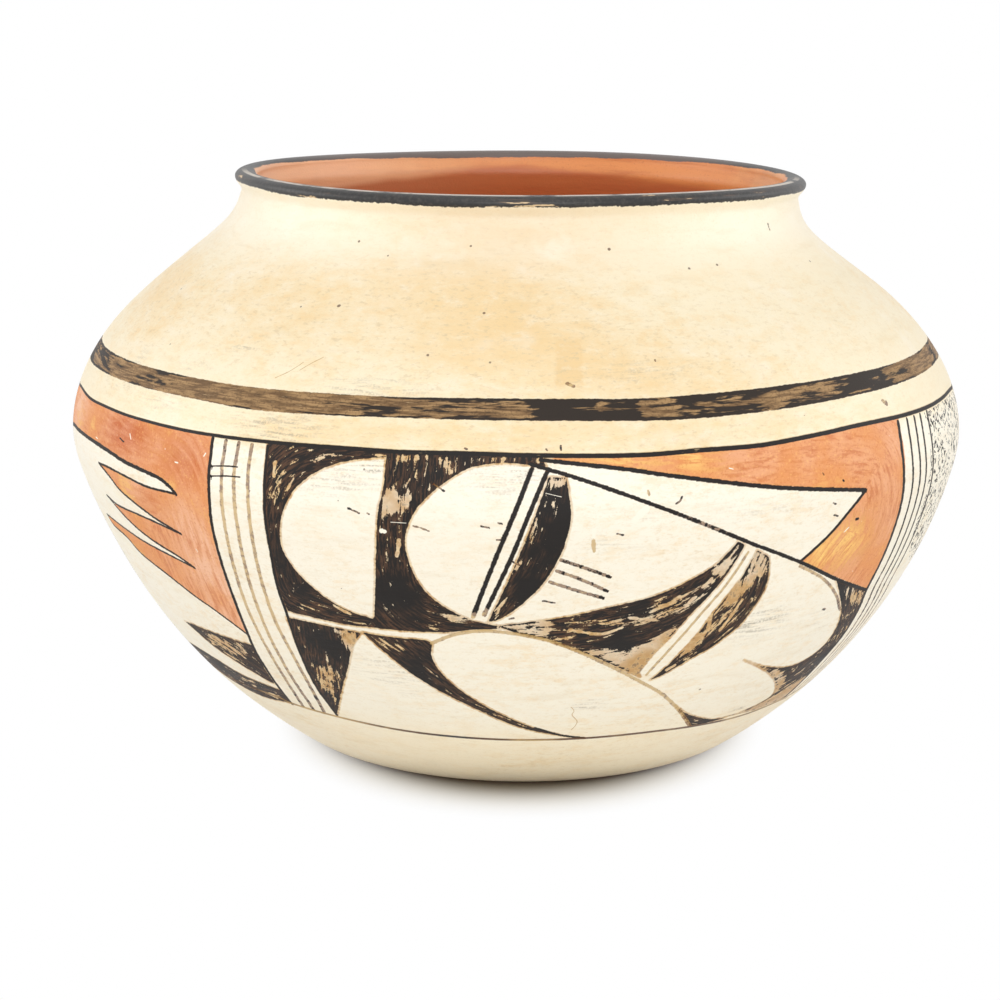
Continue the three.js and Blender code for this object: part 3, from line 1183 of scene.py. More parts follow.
first_row = 0
for name, (line, first, last, closed, columns) in courses.items():
    mesh = pieces[name].data
    number, turn, radius, height = true_places(pieces[name], line, columns)
    give(mesh, "cloud", clouds(turn, height))
    if closed:
        shown = len(line) - SEAM_POINTS if name == "lip_coil" else last
        unroll(mesh, line, number, turn, shown, columns)
    if name in PAINTED:
        column_number = np.rint(turn * columns / (2 * math.pi)).astype(int) % HALF_COLUMNS
        row = column_number * len(painted_rows) + first_row + np.minimum(number, last - 1)
        for field, values in wall_fields.items():
            give(mesh, field, values[row])
        first_row += last
    spots = np.column_stack([radius * np.sin(turn), -radius * np.cos(turn), height])
    spots = (hand_built(spots) * MM).astype(np.float32)
    mesh.attributes["position"].data.foreach_set("vector", spots.ravel())
    mesh.update()
    mesh.shade_smooth()
    mesh.set_sharp_from_angle(angle=SEAM_ANGLE)
    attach(pieces[name], "root")
    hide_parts(name)
print("bent and placed", len(pieces), "pieces")

# %% [markdown]
# ## Mixing a finish
# A finish is mixed from nodes as a potter mixes a slip: a little of this over a little of that. The
# helpers below keep each step to one readable line. Colours are given as they look on the screen
# and turned into the linear values that the shader works with. A list of coats says which colour
# goes on next and, after it, the shares that hold it back.

# %% Helpers for finishes
def paint(red, green, blue):
    """A screen colour, 0 to 255 each, as the shader's linear colour."""
    screen = np.array([red, green, blue]) / 255
    linear = np.where(screen <= 0.04045, screen / 12.92, ((screen + 0.055) / 1.055) ** 2.4)
    return (*(float(part) for part in linear), 1.0)


class Recipe:
    """The nodes of one tree, each added with one call."""

    def __init__(self, tree):
        self.tree = tree

    def feed(self, node, links):
        """Links the inputs of a node to sockets, or sets them to plain values."""
        for name, value in links.items():
            if isinstance(value, bpy.types.NodeSocket):
                self.tree.links.new(value, node.inputs[name])
            else:
                node.inputs[name].default_value = value

    def add(self, kind, links, **settings):
        """A new node with its settings made and its inputs linked or set."""
        node = self.tree.nodes.new(kind)
        for setting, value in settings.items():
            setattr(node, setting, value)
        self.feed(node, links)
        return node

    def math(self, operation, *values):
        return self.add("ShaderNodeMath", dict(enumerate(values)), operation=operation).outputs[0]

    def step(self, value, low, high):
        """0 below low, 1 above high and smooth between; the other way round if low is higher."""
        links = {"Value": value, "From Min": low, "From Max": high}
        return self.add("ShaderNodeMapRange", links, interpolation_type="SMOOTHSTEP").outputs[0]

    def blend(self, value, low, high, start, end):
        """Takes a value from low to high, in a straight line to start to end."""
        links = {"Value": value, "From Min": low, "From Max": high, "To Min": start, "To Max": end}
        return self.add("ShaderNodeMapRange", links).outputs[0]

    def shift(self, value, other, low, high, start, end):
        """A value plus a blend of another one, mostly of a noise."""
        return self.math("ADD", value, self.blend(other, low, high, start, end))

    def both(self, *shares):
        """The product of some shares."""
        total = shares[0]
        for share in shares[1:]:
            total = self.math("MULTIPLY", total, share)
        return total

    def either(self, first, second):
        return self.math("MAXIMUM", first, second)

    def coated(self, colour, *coats):
        """A colour with others over it, one by one, each as far as all of its shares go."""
        for over, *shares in coats:
            links = {0: self.both(*shares), 6: colour, 7: over}
            colour = self.add("ShaderNodeMix", links, data_type="RGBA").outputs[2]
        return colour

    def noise(self, place, scale, detail=2.0, rough=0.5, bend=0.0):
        links = {"Vector": place, "Scale": scale, "Detail": detail, "Roughness": rough, "Distortion": bend}
        return self.add("ShaderNodeTexNoise", links).outputs[0]

    def long_noise(self, place, scale, detail, rough, bend=0.0):
        """A noise that is longer one way, from its scales along x, y and z."""
        place = self.add("ShaderNodeMapping", {"Vector": place, "Scale": scale}).outputs[0]
        return self.noise(place, 1, detail, rough, bend)

    def own(self, name):
        """One of the single numbers that the vertices carry."""
        return self.add("ShaderNodeAttribute", {}, attribute_name=name).outputs["Fac"]

    def parts(self, name):
        """Three numbers that the vertices carry under one name, and a fourth if there is one."""
        node = self.add("ShaderNodeAttribute", {}, attribute_name=name)
        apart = self.add("ShaderNodeSeparateXYZ", {0: node.outputs["Vector"]})
        return (*apart.outputs, node.outputs["Alpha"])


class Finish(Recipe):
    """A material, with the places and the noises that its recipe is built from."""

    def __init__(self, name):
        self.material = bpy.data.materials.new(name)
        self.material.use_nodes = True
        super().__init__(self.material.node_tree)
        self.shader = self.tree.nodes["Principled BSDF"]
        self.place = self.add("ShaderNodeTexCoord", {}).outputs["Object"]
        self.side, self.depth, self.height = self.add("ShaderNodeSeparateXYZ", {0: self.place}).outputs
        self.ripple = self.noise(self.place, 620, 3, 0.6)
        self.patch = self.noise(self.place, 65, 3, 0.6)
        self.level = self.long_noise(self.place, (45, 45, 300), 4, 0.62, 0.4)
        self.fine_level = self.long_noise(self.place, (130, 130, 1600), 3, 0.62)
        self.grain = self.noise(self.place, 1700, 2, 0.6)

    def strokes(self, along, across):
        """Places that run along and across the brush's way, for noises that follow it."""
        return self.add("ShaderNodeCombineXYZ", {0: self.both(*along), 1: self.both(*across)}).outputs[0]

    def polish(self, colour, relief, dullness, depth, gloss=0.5):
        """Sets the colour, the gloss and a fine relief, and gives the material back."""
        bump = self.add("ShaderNodeBump", {"Strength": 0.5, "Distance": depth, "Height": relief})
        links = {"Base Color": colour, "Roughness": dullness, "Specular IOR Level": gloss}
        self.feed(self.shader, {**links, "Normal": bump.outputs[0]})
        return self.material


print("the screen's middle grey in linear values:", [round(part, 3) for part in paint(128, 128, 128)])

# %% [markdown]
# ## The slip
# The slip is a thin coat of white clay, rubbed with a smooth stone while it was leather-hard. The
# stone leaves faint level streaks, and the fire leaves clouds, so the colour is built from large
# clouds, level wiping marks, a fine grain and a few specks. All of them are tied to the clay's own
# place, so they hold still from every side. Pairs of heights, in metres, say where a coat starts
# and where it is full.

# %% Slip
CREAM, CLOUDED, WHITE = paint(249, 235, 204), paint(243, 211, 156), paint(254, 247, 231)
FOOT_CREAM, WIPED, SPECK = paint(255, 242, 215), paint(222, 198, 156), paint(98, 70, 48)
# The neck carries painted light: a painted highlight in white at its two sides, and a painted shade, a
# duller cream, at its front under the lip.
SCUFF_GREY, NECK_SHADE, SPILLED = paint(146, 132, 112), paint(238, 220, 194), paint(226, 186, 122)
WHITE_BELOW, FOOT_BELOW, NECK_SHADING_ABOVE = (0.103, 0.0985), (0.032, 0.016), (0.134, 0.148)
STAIN_MIDDLE, STAIN_HALF = (0.0127, 0.1216), (0.0032, 0.0046)
IN_FRONT = (0.0, -0.03)
SLIP_RELIEF = 0.00012


def spill_share(finish):
    """The share of the small square stain above the band, where something was spilled in front."""
    reach = 0.0
    for value, middle, half in zip((finish.side, finish.height), STAIN_MIDDLE, STAIN_HALF):
        off = finish.math("DIVIDE", finish.math("SUBTRACT", value, middle), half)
        reach = finish.either(reach, finish.math("ABSOLUTE", off))
    reach = finish.shift(reach, finish.ripple, 0.3, 0.7, -0.15, 0.15)
    return finish.both(finish.step(reach, 1.15, 0.85), finish.step(finish.depth, *IN_FRONT))


def slip_colour(finish, scuff):
    """The colour of the slip, with clouds, wiping marks, scuffs and specks, painted highlight and shade on
    the neck, and its relief.
    """
    cloud = finish.shift(finish.own("cloud"), finish.noise(finish.place, 22, 3, 0.55), 0, 1, -0.55, 0.55)
    cloud = finish.shift(cloud, finish.patch, 0, 1, -0.3, 0.3)
    mottle = finish.long_noise(finish.place, (120, 120, 330), 6, 0.78, 0.15)
    stipple = finish.long_noise(finish.place, (520, 520, 1300), 3, 0.7)
    warm = finish.math("ADD", finish.both(finish.step(cloud, -0.4, 0.7), 0.65), 0.08)
    neck_light_sides = finish.step(finish.math("ABSOLUTE", finish.side), 0.0, 0.06)
    neck = finish.step(finish.height, *NECK_SHADING_ABOVE)
    scuffed = finish.both(finish.step(finish.fine_level, 0.42, 0.7), finish.step(finish.grain, 0.3, 0.6))
    cells = finish.add("ShaderNodeTexVoronoi", {"Vector": finish.place, "Scale": 170})
    chance = finish.add("ShaderNodeSeparateColor", {0: cells.outputs["Color"]}).outputs[0]
    dots = finish.math("LESS_THAN", cells.outputs["Distance"], finish.blend(chance, 0.8, 1, 0.0, 0.06))
    colour = finish.coated(
        CREAM,
        (WHITE, finish.step(finish.height, *WHITE_BELOW)),
        (FOOT_CREAM, finish.step(finish.height, *FOOT_BELOW), 0.85),
        (SPILLED, spill_share(finish), 0.6),
        (CLOUDED, finish.step(cloud, 0.05, 1.15), 0.9),
        (CLOUDED, finish.step(mottle, 0.46, 0.68), warm),
        (WHITE, finish.step(mottle, 0.5, 0.3), finish.step(cloud, -0.2, 0.6), 0.4),
        (WIPED, finish.step(stipple, 0.52, 0.72), warm, 0.9),
        # Painted highlight on the sides of the neck, and painted shade at its front under the lip.
        (WHITE, neck, finish.blend(neck_light_sides, 0, 1, 0.0, 0.55)),
        (NECK_SHADE, neck, finish.blend(neck_light_sides, 0, 1, 0.6, 0.0)),
        (WIPED, finish.step(finish.level, 0.52, 0.78), 0.22),
        (WHITE, finish.step(finish.patch, 0.56, 0.72), 0.3),
        (WIPED, finish.step(finish.grain, 0.56, 0.74), 0.2),
        (SCUFF_GREY, scuffed, scuff, 0.8),
        (SPECK, dots, 0.75),
    )
    return colour, finish.math("ADD", finish.grain, finish.both(finish.level, 2.5))


# %% [markdown]
# The picture shows a few larger burnt specks on the neck and the upper shoulder. Each is a size in
# mm and a point of the picture, which is thrown onto the finished jar.

# %% Specks and the plain slip
SPECKS = [
    (0.45, (339, 306)), (0.4, (484, 313)), (0.3, (428, 355)), (0.35, (609, 249)), (0.35, (717, 264)),
    (0.3, (689, 268)), (0.35, (768, 222)), (0.35, (768.5, 224.5)), (0.35, (769.5, 227)),
    (0.3, (359, 242)), (0.25, (471, 246)), (0.3, (810, 259)), (0.25, (301, 307)), (0.25, (388, 256)),
]


def on_jar(pixel):
    """The place on the finished jar, in metres, that a point of the picture shows."""
    across, up = seen(pixel)[0]
    turn, height = across / MAP_RADIUS, np.interp(up, map_height, wall_line[:, 1])
    radius = np.interp(height, wall_line[:, 1], wall_line[:, 0])
    place = np.array([[radius * math.sin(turn), -radius * math.cos(turn), height]])
    return tuple(float(part) for part in hand_built(place)[0] * MM)


def specked(finish, colour):
    """A colour with the burnt specks on it."""
    waver = finish.blend(finish.ripple, 0.3, 0.7, -0.0001, 0.0001)
    share = 0.0
    for size, pixel in SPECKS:
        gap = finish.add("ShaderNodeVectorMath", {0: finish.place, 1: on_jar(pixel)}, operation="DISTANCE")
        gap = finish.math("ADD", gap.outputs["Value"], waver)
        share = finish.either(share, finish.step(gap, size * 1.3 * MM, size * 0.8 * MM))
    return finish.coated(colour, (SPECK, share, 0.85))


def plain_slip():
    finish = Finish("plain_slip")
    colour, relief = slip_colour(finish, 0.0)
    dullness = finish.blend(finish.level, 0.3, 0.7, 0.38, 0.52)
    return finish.polish(specked(finish, colour), relief, dullness, SLIP_RELIEF)


slip_material = plain_slip()
print("slip mixed with", len(slip_material.node_tree.nodes), "nodes")

# %% [markdown]
# ## Paint over the slip
# The layers are laid in the painter's order: red, then the stain that black paint leaves in the
# slip, then the black itself with its streaks and flaked places, then the lines. Each layer reads a
# distance, adds a small waver to it, and turns it into a share of colour with a crisp step.

# %% Red paint
RED, DEEP_RED = paint(233, 155, 94), paint(198, 98, 40)
PALE_RED, YELLOW = paint(246, 194, 162), paint(255, 210, 130)


def red_layer(finish, colour):
    """Red clay paint in streaks that follow the brush."""
    edge, along, across, _ = finish.parts("red_area")
    deep, pink, gold, _ = finish.parts("red_tones")
    patch, grain = finish.patch, finish.grain
    streak = finish.noise(finish.strokes((along, 0.14), (across, 0.7)), 1, 5, 0.66, 0.5)
    blotch = finish.both(finish.step(patch, 0.62, 0.4), finish.step(streak, 0.42, 0.66), 0.75)
    deep = finish.math("ADD", finish.both(deep, finish.blend(streak, 0.3, 0.7, 0.5, 1.2)), 0.08)
    pink = finish.both(pink, finish.step(patch, 0.3, 0.55))
    pink = finish.shift(pink, patch, 0.38, 0.62, 0.5, 0.05)
    gold = finish.math("ADD", finish.both(gold, 0.9), finish.both(finish.step(patch, 0.56, 0.7), 0.5))
    red = finish.coated(
        RED,
        (DEEP_RED, finish.either(blotch, deep)),
        (PALE_RED, pink, finish.blend(streak, 0.35, 0.62, 1, 0.4)),
        (YELLOW, gold, finish.step(streak, 0.4, 0.6)),
        (DEEP_RED, finish.step(grain, 0.56, 0.7), 0.35),
        (YELLOW, finish.step(grain, 0.42, 0.28), 0.35),
    )
    share = finish.step(finish.shift(edge, finish.ripple, 0, 1, -0.2, 0.2), 0.1, -0.1)
    thin = finish.blend(finish.step(finish.ripple, 0.72, 0.76), 0, 1, 1.0, 0.4)
    return finish.coated(colour, (red, share, thin)), share


# %% [markdown]
# Black paint is thin and brittle. It flakes off in splinters that follow the brush, least of all
# along the outline, where the painter went twice, and it leaves a tan stain behind. So a noise that
# is long along the strokes is compared with a limit that rises near the edge. A line's share is
# made from its distances, and the strokes left open are cut out of the black by theirs.

# %% Black paint
BLACK, BROWN_BLACK = paint(40, 37, 36), paint(96, 70, 54)
STAIN, PALE_STAIN = paint(196, 154, 100), paint(228, 198, 150)


def line_share(finish, name, waver=0.35):
    """The share of a kind of line, how dark it is, and how far out of it a place is."""
    across, past, dark, _ = finish.parts(name)
    square = finish.math("MULTIPLY_ADD", past, past, finish.both(across, across))
    reach = finish.shift(finish.math("POWER", square, 0.5), finish.ripple, 0.2, 0.8, -waver, waver)
    return finish.step(reach, 1.12, 0.9), dark, reach


def black_layer(finish, colour):
    """Black paint in strokes, flaked here and there, over the stain it leaves."""
    edge, along, across, _ = finish.parts("black_area")
    worn = finish.own("wear")
    patch, bits = finish.patch, finish.ripple
    edge = finish.shift(edge, bits, 0, 1, -0.3, 0.3)
    strokes = finish.strokes((along, 0.16), (across, 0.85))
    splinter = finish.noise(strokes, 1, 5, 0.66, 0.35)
    for noise in (finish.grain, bits):
        splinter = finish.shift(splinter, noise, 0.25, 0.75, -0.05, 0.05)
    streak = finish.long_noise(strokes, (1.6, 1.9, 1), 4, 0.66, 0.3)
    pale = finish.math("SUBTRACT", finish.step(bits, 0.36, 0.6), finish.both(worn, 0.6))
    stain = finish.coated(
        STAIN,
        (PALE_STAIN, finish.either(pale, 0.0)),
        (BROWN_BLACK, finish.step(bits, 0.55, 0.66), worn, 0.6),
    )
    limit = finish.blend(finish.step(edge, -1.1, -0.3), 0, 1, 0.615, 0.69)
    limit = finish.shift(limit, patch, 0.35, 0.65, 0.07, -0.05)
    limit = finish.math("SUBTRACT", limit, finish.both(worn, 0.26))
    kept = finish.step(finish.math("SUBTRACT", limit, splinter), -0.012, 0.012)
    opened, _, _ = line_share(finish, "open_line", 0.8)
    share = finish.both(finish.step(edge, 0.06, -0.06), kept, finish.math("SUBTRACT", 1, opened))
    washed = (finish.step(streak, 0.44, 0.64), finish.step(patch, 0.34, 0.52), 0.9)
    black = finish.coated(BLACK, (BROWN_BLACK, *washed))
    stained = (finish.step(edge, 0.72, 0.22), finish.blend(patch, 0.38, 0.55, 0.55, 1))
    return finish.coated(colour, (stain, *stained), (black, share)), share


# %% [markdown]
# Lines share one recipe. A tan line is black paint that has rubbed away: a pale brown trace with
# dark dots where the paint still holds. So one number, how dark the line is, takes it from the one
# to the other through two noises. The band, the frame line and the low line fade in the same way,
# with noises that lie level.

# %% Lines and rings
TRACE, LINE_BROWN, LOW_BROWN = paint(200, 166, 108), paint(108, 64, 28), paint(92, 58, 28)
WASH, DARK_WASH, PALE_WASH = paint(176, 142, 100), paint(112, 86, 60), paint(206, 176, 132)
DEEP_WASH, BAND_BLACK = paint(84, 66, 50), paint(52, 45, 40)


def line_layer(finish, colour, name, waver=0.35):
    """Lines of one kind, from worn tan to full black."""
    share, dark, reach = line_share(finish, name, waver)
    depth = finish.shift(dark, finish.ripple, 0.25, 0.75, 0.36, -0.36)
    depth = finish.shift(depth, finish.grain, 0.25, 0.75, 0.14, -0.14)
    trace = finish.coated(TRACE, (LINE_BROWN, finish.step(depth, 0.08, 0.45)))
    traced = (finish.step(reach, 1.4, 0.9), finish.step(dark, -1, -0.5), 0.8)
    held = finish.both(share, finish.step(depth, 0.5, 0.62))
    return finish.coated(colour, (trace, *traced), (BLACK, held)), held


def ring_layer(finish, colour, painted):
    """The wide band, the frame line and the low line, over what is painted already."""
    frame, low, band, band_dark = finish.parts("rings")
    level, fine = finish.level, finish.fine_level
    waver = finish.blend(finish.ripple, 0, 1, -0.2, 0.2)
    inside = finish.math("ADD", finish.math("ABSOLUTE", band), finish.both(waver, 0.5))
    frame = finish.math("ADD", finish.math("ABSOLUTE", frame), waver)
    low = finish.math("ADD", finish.math("ABSOLUTE", low), waver)
    share, frame_share = finish.step(inside, 1.03, 0.97), finish.step(frame, 1.1, 0.9)
    depth = finish.shift(band_dark, level, 0.3, 0.7, -0.6, 0.6)
    depth = finish.math("ADD", depth, finish.both(finish.step(inside, 0.72, 0.92), 0.4))
    depth = finish.shift(depth, fine, 0.3, 0.7, -0.22, 0.22)
    low_depth = finish.shift(finish.own("low_dark"), level, 0.3, 0.7, -0.4, 0.4)
    wash = finish.coated(
        WASH,
        (DARK_WASH, finish.step(fine, 0.34, 0.62)),
        (PALE_WASH, finish.step(fine, 0.62, 0.72), 0.6),
        (DEEP_WASH, finish.step(finish.grain, 0.5, 0.68), 0.5),
    )
    low_trace = finish.coated(
        TRACE,
        (LOW_BROWN, finish.step(low_depth, 0.1, 0.6)),
        (BLACK, finish.step(low_depth, 0.75, 0.95)),
    )
    colour = finish.coated(
        colour,
        (wash, share),
        (BAND_BLACK, share, finish.step(depth, 0.55, 0.75)),
        (TRACE, finish.step(frame, 1.5, 1.0), finish.math("SUBTRACT", 1.0, painted), 0.6),
        (BLACK, frame_share, finish.blend(finish.step(fine, 0.68, 0.74), 0, 1, 1, 0.35)),
        (low_trace, finish.step(low, 1.35, 0.8)),
    )
    return colour, finish.either(share, frame_share)


def dotted_layer(finish, colour):
    """The panel of small squiggles, which are a thin level of one noise with gaps from another."""
    worm = finish.math("SUBTRACT", finish.noise(finish.place, 520, 1, 0.5, 0.6), 0.5)
    worm = finish.step(finish.math("ABSOLUTE", worm), 0.08, 0.05)
    panel = finish.step(finish.own("dotted_area"), -0.2, -0.6)
    share = finish.both(worm, finish.step(finish.ripple, 0.49, 0.55), panel)
    return finish.coated(colour, (BLACK, share)), share


# %% [markdown]
# Now the layers go on in the painter's order. The paint is duller than the polished slip, so the
# same shares also set the gloss.

# %% Painted slip
def painted_slip():
    finish = Finish("painted_slip")
    colour, relief = slip_colour(finish, finish.own("scuff"))
    colour, painted = red_layer(finish, colour)
    for layer in (black_layer, dotted_layer):
        colour, share = layer(finish, colour)
        painted = finish.either(painted, share)
    for name in ("thin_line", "bold_line", "cross_line"):
        colour, share = line_layer(finish, colour, name)
        painted = finish.either(painted, share)
    colour, _ = line_layer(finish, colour, "dash_line", 0.7)
    chip, chip_dark, _ = line_share(finish, "dash_line", 0.5)
    colour = finish.coated(colour, (WHITE, chip, finish.step(chip_dark, -1, -1.5)))
    colour, share = ring_layer(finish, colour, painted)
    painted = finish.either(painted, share)
    dullness = finish.shift(finish.both(painted, 0.1), finish.level, 0.3, 0.7, 0.38, 0.5)
    gloss = finish.blend(painted, 0, 1, 0.4, 0.15)
    return finish.polish(colour, relief, dullness, SLIP_RELIEF, gloss)


painted_material = painted_slip()
print("painted slip mixed with", len(painted_material.node_tree.nodes), "nodes")

# %% [markdown]
# ## Bare clay and the black lip
# Inside, the jar is bare clay that fired to a warm orange, wiped level by hand. It is paler on the
# left, and below an arch that is highest in the middle it is painted darker: painted shade on the
# inner wall below the lip.

# %% Bare clay
CLAY, DARK_CLAY = paint(238, 154, 90), paint(198, 110, 66)
PALE_CLAY, PALE_LEFT = paint(250, 188, 124), paint(255, 200, 156)
LEFT_SIDE, LEFT_HEIGHTS = (0.008, -0.055), (0.149, 0.153)
# Painted shade on the inner wall below the lip: darker clay under an arch, with the arch's slope and its
# heights in metres.
SHADE_ARCH_SLOPE = 0.095
SHADE_ARCH_BELOW, SHADE_ARCH_ABOVE = (0.1554, 0.1529), (0.1, 0.14)
CLAY_RELIEF = 0.0003


def clay_colour(finish):
    """Orange clay with level wiping marks, darker and lighter patches, a sandy grain and painted shade
    below an arch.
    """
    wiping = finish.long_noise(finish.place, (28, 28, 260), 5, 0.6)
    patch = finish.noise(finish.place, 34, 3, 0.55)
    left = finish.step(finish.side, *LEFT_SIDE)
    arch = finish.both(finish.math("ABSOLUTE", finish.side), SHADE_ARCH_SLOPE)
    height = finish.shift(finish.height, finish.noise(finish.place, 28, 2), 0.3, 0.7, -0.0008, 0.0008)
    height = finish.math("ADD", height, arch)
    colour = finish.coated(
        CLAY,
        (DARK_CLAY, finish.step(wiping, 0.45, 0.7), 0.7),
        (PALE_CLAY, finish.step(patch, 0.48, 0.68), 0.4),
        (DARK_CLAY, finish.step(finish.grain, 0.58, 0.72), 0.35),
        (PALE_LEFT, left, finish.blend(finish.height, *LEFT_HEIGHTS, 1, 0.6)),
        # Painted shade: darker clay below the arch, fading out deeper inside.
        (DARK_CLAY, finish.step(height, *SHADE_ARCH_BELOW), finish.step(finish.height, *SHADE_ARCH_ABOVE), 0.78),
    )
    return colour, finish.math("ADD", finish.grain, finish.both(wiping, 1.5))


def bare_clay():
    finish = Finish("bare_clay")
    colour, relief = clay_colour(finish)
    return finish.polish(colour, relief, 0.72, CLAY_RELIEF)


clay_material = bare_clay()
print("bare clay mixed with", len(clay_material.node_tree.nodes), "nodes")

# %% [markdown]
# The lip is painted black over both sides of its crest, down to a ragged edge. Handling has rubbed
# the paint through outside, most of all near that edge. At the back of the inner side the black is
# painted a lighter grey, a painted reflection of the room on the far lip, and a painted highlight
# runs as a bright line along the front of the crest.

# %% Black lip
LIP_BLACK, LIP_GREY, LIP_BROWN = paint(31, 30, 29), paint(58, 54, 51), paint(92, 72, 58)
FAR_LIP_REFLECTION, RUBBED, CREST_HIGHLIGHT = paint(116, 103, 97), paint(214, 186, 146), paint(228, 216, 200)
FAR_SIDE, CREST_MIDDLE = (0.02, 0.06), 0.3
LIP_RELIEF = 0.00015


def lip_paint():
    """Worn black over the crest of the lip, with slip under it outside and clay under it inside."""
    finish = Finish("lip_paint")
    outside = finish.own("outside")
    slip, _ = slip_colour(finish, 0.0)
    clay, relief = clay_colour(finish)
    level = finish.long_noise(finish.place, (70, 70, 700), 4, 0.65)
    bits = finish.noise(finish.place, 900, 4, 0.65)
    waver = finish.noise(finish.place, 60, 2)
    height = finish.shift(finish.own("over_edge"), waver, 0.3, 0.7, -0.00025, 0.00025)
    ragged = finish.blend(outside, 0, 1, 0.0001, 0.00025)
    height = finish.math("ADD", height, finish.both(finish.blend(bits, 0.3, 0.7, -1, 1), ragged))
    rubbed = finish.math("ADD", level, finish.both(finish.step(height, 0.0012, 0.0), 0.12))
    crest = finish.math("ABSOLUTE", finish.math("ADD", finish.own("crest"), CREST_MIDDLE))
    crest_highlight_share = (finish.step(crest, 0.9, 0.5), finish.step(finish.depth, *IN_FRONT))
    inside = finish.math("SUBTRACT", 1.0, outside)
    black = finish.coated(
        LIP_BLACK,
        (LIP_GREY, finish.step(bits, 0.45, 0.7)),
        (LIP_BROWN, finish.step(level, 0.55, 0.68), 0.6),
        # Painted reflection: a lighter grey on the far inner side of the lip.
        (FAR_LIP_REFLECTION, finish.step(finish.depth, *FAR_SIDE), inside, 0.85),
        (RUBBED, finish.step(rubbed, 0.66, 0.7), outside),
        # Painted highlight: a bright line along the front of the crest.
        (CREST_HIGHLIGHT, *crest_highlight_share, finish.step(level, 0.36, 0.5), 0.8),
    )
    share = finish.step(height, -0.00012, 0.00012)
    colour = finish.coated(clay, (slip, outside), (black, share))
    return finish.polish(colour, relief, 0.42, LIP_RELIEF)


lip_material = lip_paint()
print("materials:", [material.name for material in bpy.data.materials])

# %% [markdown]
# ## Dressing the pieces
# A course carries slip on its outer face and bare clay on its inner face and in its seams. The
# vertex numbers say which is which.
# The lip also learns its distance from the crest, in mm, and its height over the lower edge of the
# black, in metres. The edge dips with the lip, and inside it lies a little higher, most of all at
# the two sides.

# %% Finishes on the pieces
PAINT_BOTTOM = 0.1554
INNER_EDGE, INNER_RISE = 0.0007, 0.0016


def outer_faces(mesh, number, first, last):
    """True for the faces whose vertices are all on the outer face of the wall."""
    starts = np.empty(len(mesh.polygons), np.int32)
    mesh.polygons.foreach_get("loop_start", starts)
    fits = (number >= first) & (number < last)
    return np.logical_and.reduceat(fits[corner_vertices(mesh)], starts)


for name, (line, first, last, closed, columns) in courses.items():
    mesh = pieces[name].data
    number = np.rint(column(mesh, "number")).astype(int)
    if name == "lip_coil":
        outside = (number < last).astype(np.float32)
        give(mesh, "outside", outside)
        steps = np.hypot(*np.diff(line, axis=0).T)
        passed = np.concatenate([[0], np.cumsum(steps)])
        give(mesh, "crest", passed[number] - passed[last - 1])
        spots = column(mesh, "position", 3)
        aside = spots[:, 0] / MM / NECK[0]
        paint_bottom = PAINT_BOTTOM + (INNER_EDGE + INNER_RISE * aside**2) * (1 - outside)
        give(mesh, "over_edge", spots[:, 2] + DIP * MM * aside**3 - paint_bottom)
        finishes = [lip_material]
    else:
        finishes = [clay_material, painted_material if name in PAINTED else slip_material]
    for finish in finishes:
        mesh.materials.append(finish)
    if len(finishes) > 1:
        outer = outer_faces(mesh, number, first, last).astype(np.int32)
        mesh.polygons.foreach_set("material_index", outer)
print("pieces dressed:", len(courses))

# %% [markdown]
# ## Room and light
# The jar stands on a plain white floor in an even white room. The camera and reflections see the
# room fully white, while it lights the jar only at half strength, and four large soft lamps do the
# rest. The floor turns pure white for the camera a little way off. Near the foot its colour is
# painted a warm dark in an oval, a painted shadow that adds to the jar's own soft shadow there.

# %% Floor and lights
FLOOR_SIZE = 8.0
ROOM_LIGHT = 0.5
WHITE_LIGHT = (1, 1, 1, 1)
# The first floor colour is a painted shadow: the warm dark that the floor takes round the foot.
FLOOR_PAINTED_SHADOW, FLOOR_OPEN, FLOOR_DULLNESS = (0.2, 0.165, 0.112, 1), (0.8, 0.785, 0.73, 1), 0.9
SHADOW_OVAL = {"Location": (-0.002, 0, 0), "Scale": (1.27, 1, 1)}
SHADOW_END, WHITE_START = (0.062, 0.086), (0.064, 0.092)
bpy.ops.mesh.primitive_plane_add(size=FLOOR_SIZE)
floor = bpy.context.object
floor.name = "floor"


def camera_light(recipe, seen_strength, other_strength):
    """A strength that the camera and reflections see, and another one that lights the jar."""
    path = recipe.add("ShaderNodeLightPath", {}).outputs
    seen_by = recipe.either(path["Is Camera Ray"], path["Is Glossy Ray"])
    seen_by = recipe.either(seen_by, path["Is Transmission Ray"])
    return recipe.blend(seen_by, 0, 1, other_strength, seen_strength)


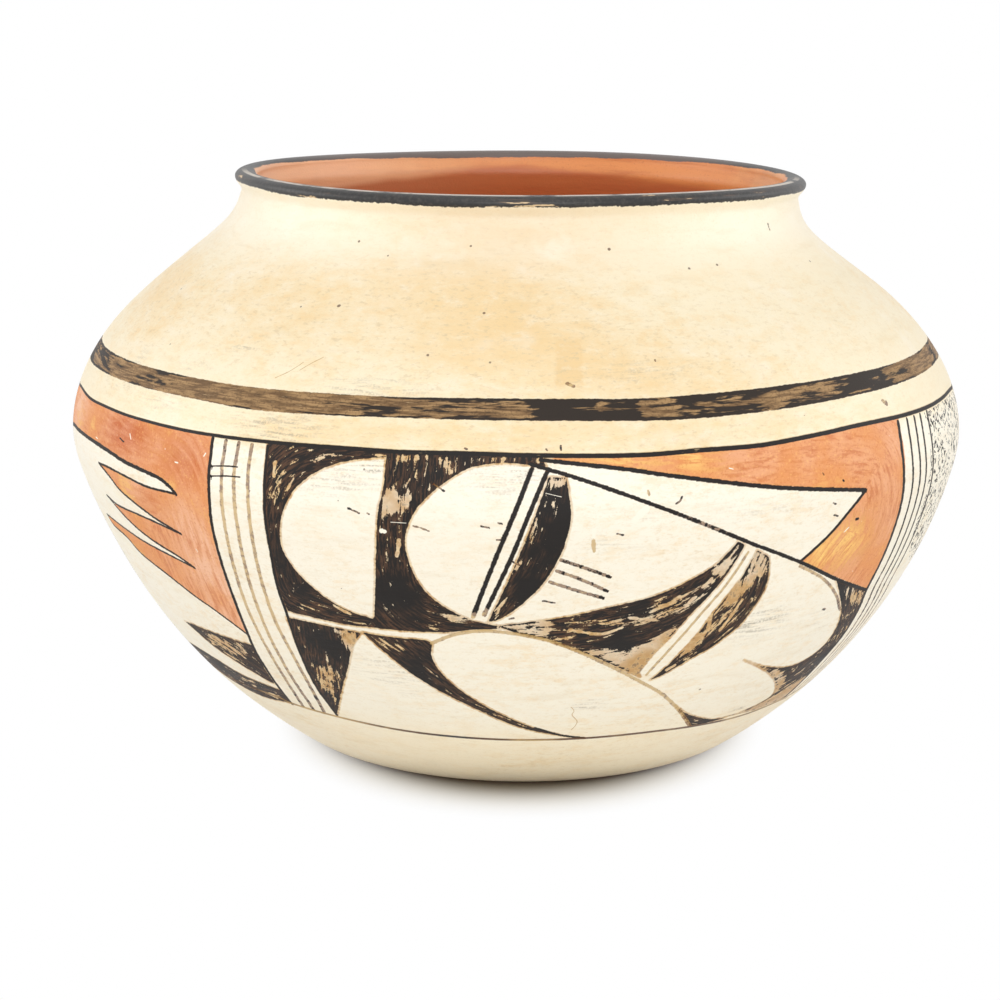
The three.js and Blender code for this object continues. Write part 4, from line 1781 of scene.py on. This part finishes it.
world = bpy.data.worlds.new("white_room")
bpy.context.scene.world = world
world.use_nodes = True
room = Recipe(world.node_tree)
room_light = camera_light(room, 1.0, ROOM_LIGHT)
room.feed(room.tree.nodes["Background"], {"Color": WHITE_LIGHT, "Strength": room_light})


def floor_material():
    """A floor that is white for the camera, except in an oval round the foot, where its colour is a
    painted shadow.
    """
    finish = Finish("white_floor")
    oval = finish.add("ShaderNodeMapping", {"Vector": finish.place, **SHADOW_OVAL}).outputs[0]
    distance = finish.add("ShaderNodeVectorMath", {0: oval}, operation="LENGTH").outputs["Value"]
    # Painted shadow: the floor's colour is darkened in an oval round the foot.
    painted_shadow_tone = finish.coated(FLOOR_PAINTED_SHADOW, (FLOOR_OPEN, finish.step(distance, *SHADOW_END)))
    finish.feed(finish.shader, {"Base Color": painted_shadow_tone, "Roughness": FLOOR_DULLNESS})
    far_off = finish.both(finish.step(distance, *WHITE_START), camera_light(finish, 1.0, 0.0))
    glow = finish.add("ShaderNodeEmission", {"Color": WHITE_LIGHT, "Strength": 1.0})
    links = {0: far_off, 1: finish.shader.outputs[0], 2: glow.outputs[0]}
    floors = finish.add("ShaderNodeMixShader", links)
    finish.feed(finish.tree.nodes["Material Output"], {0: floors.outputs[0]})
    return finish.material


floor.data.materials.append(floor_material())


def lamp(name, place, aim, size, power):
    """A large square lamp that faces a point."""
    light = bpy.data.lights.new(name, "AREA")
    light.size = size
    light.energy = power
    holder = bpy.data.objects.new(name, light)
    aim, place = Vector(aim), Vector(place)
    holder.location = place
    holder.rotation_euler = (aim - place).to_track_quat("-Z", "Y").to_euler()
    bpy.context.scene.collection.objects.link(holder)


lamp("front_lamp", (0.1, -1.6, 0.5), (0, 0, 0.06), 1.2, 12)
lamp("left_lamp", (-1.3, 0.0, 0.38), (0, 0, 0.08), 1.0, 6.1)
lamp("right_lamp", (1.3, 0.1, 0.42), (0, 0, 0.08), 1.0, 5.2)
lamp("top_lamp", (-0.1, -0.5, 1.5), (0, 0, 0.1), 0.8, 3)
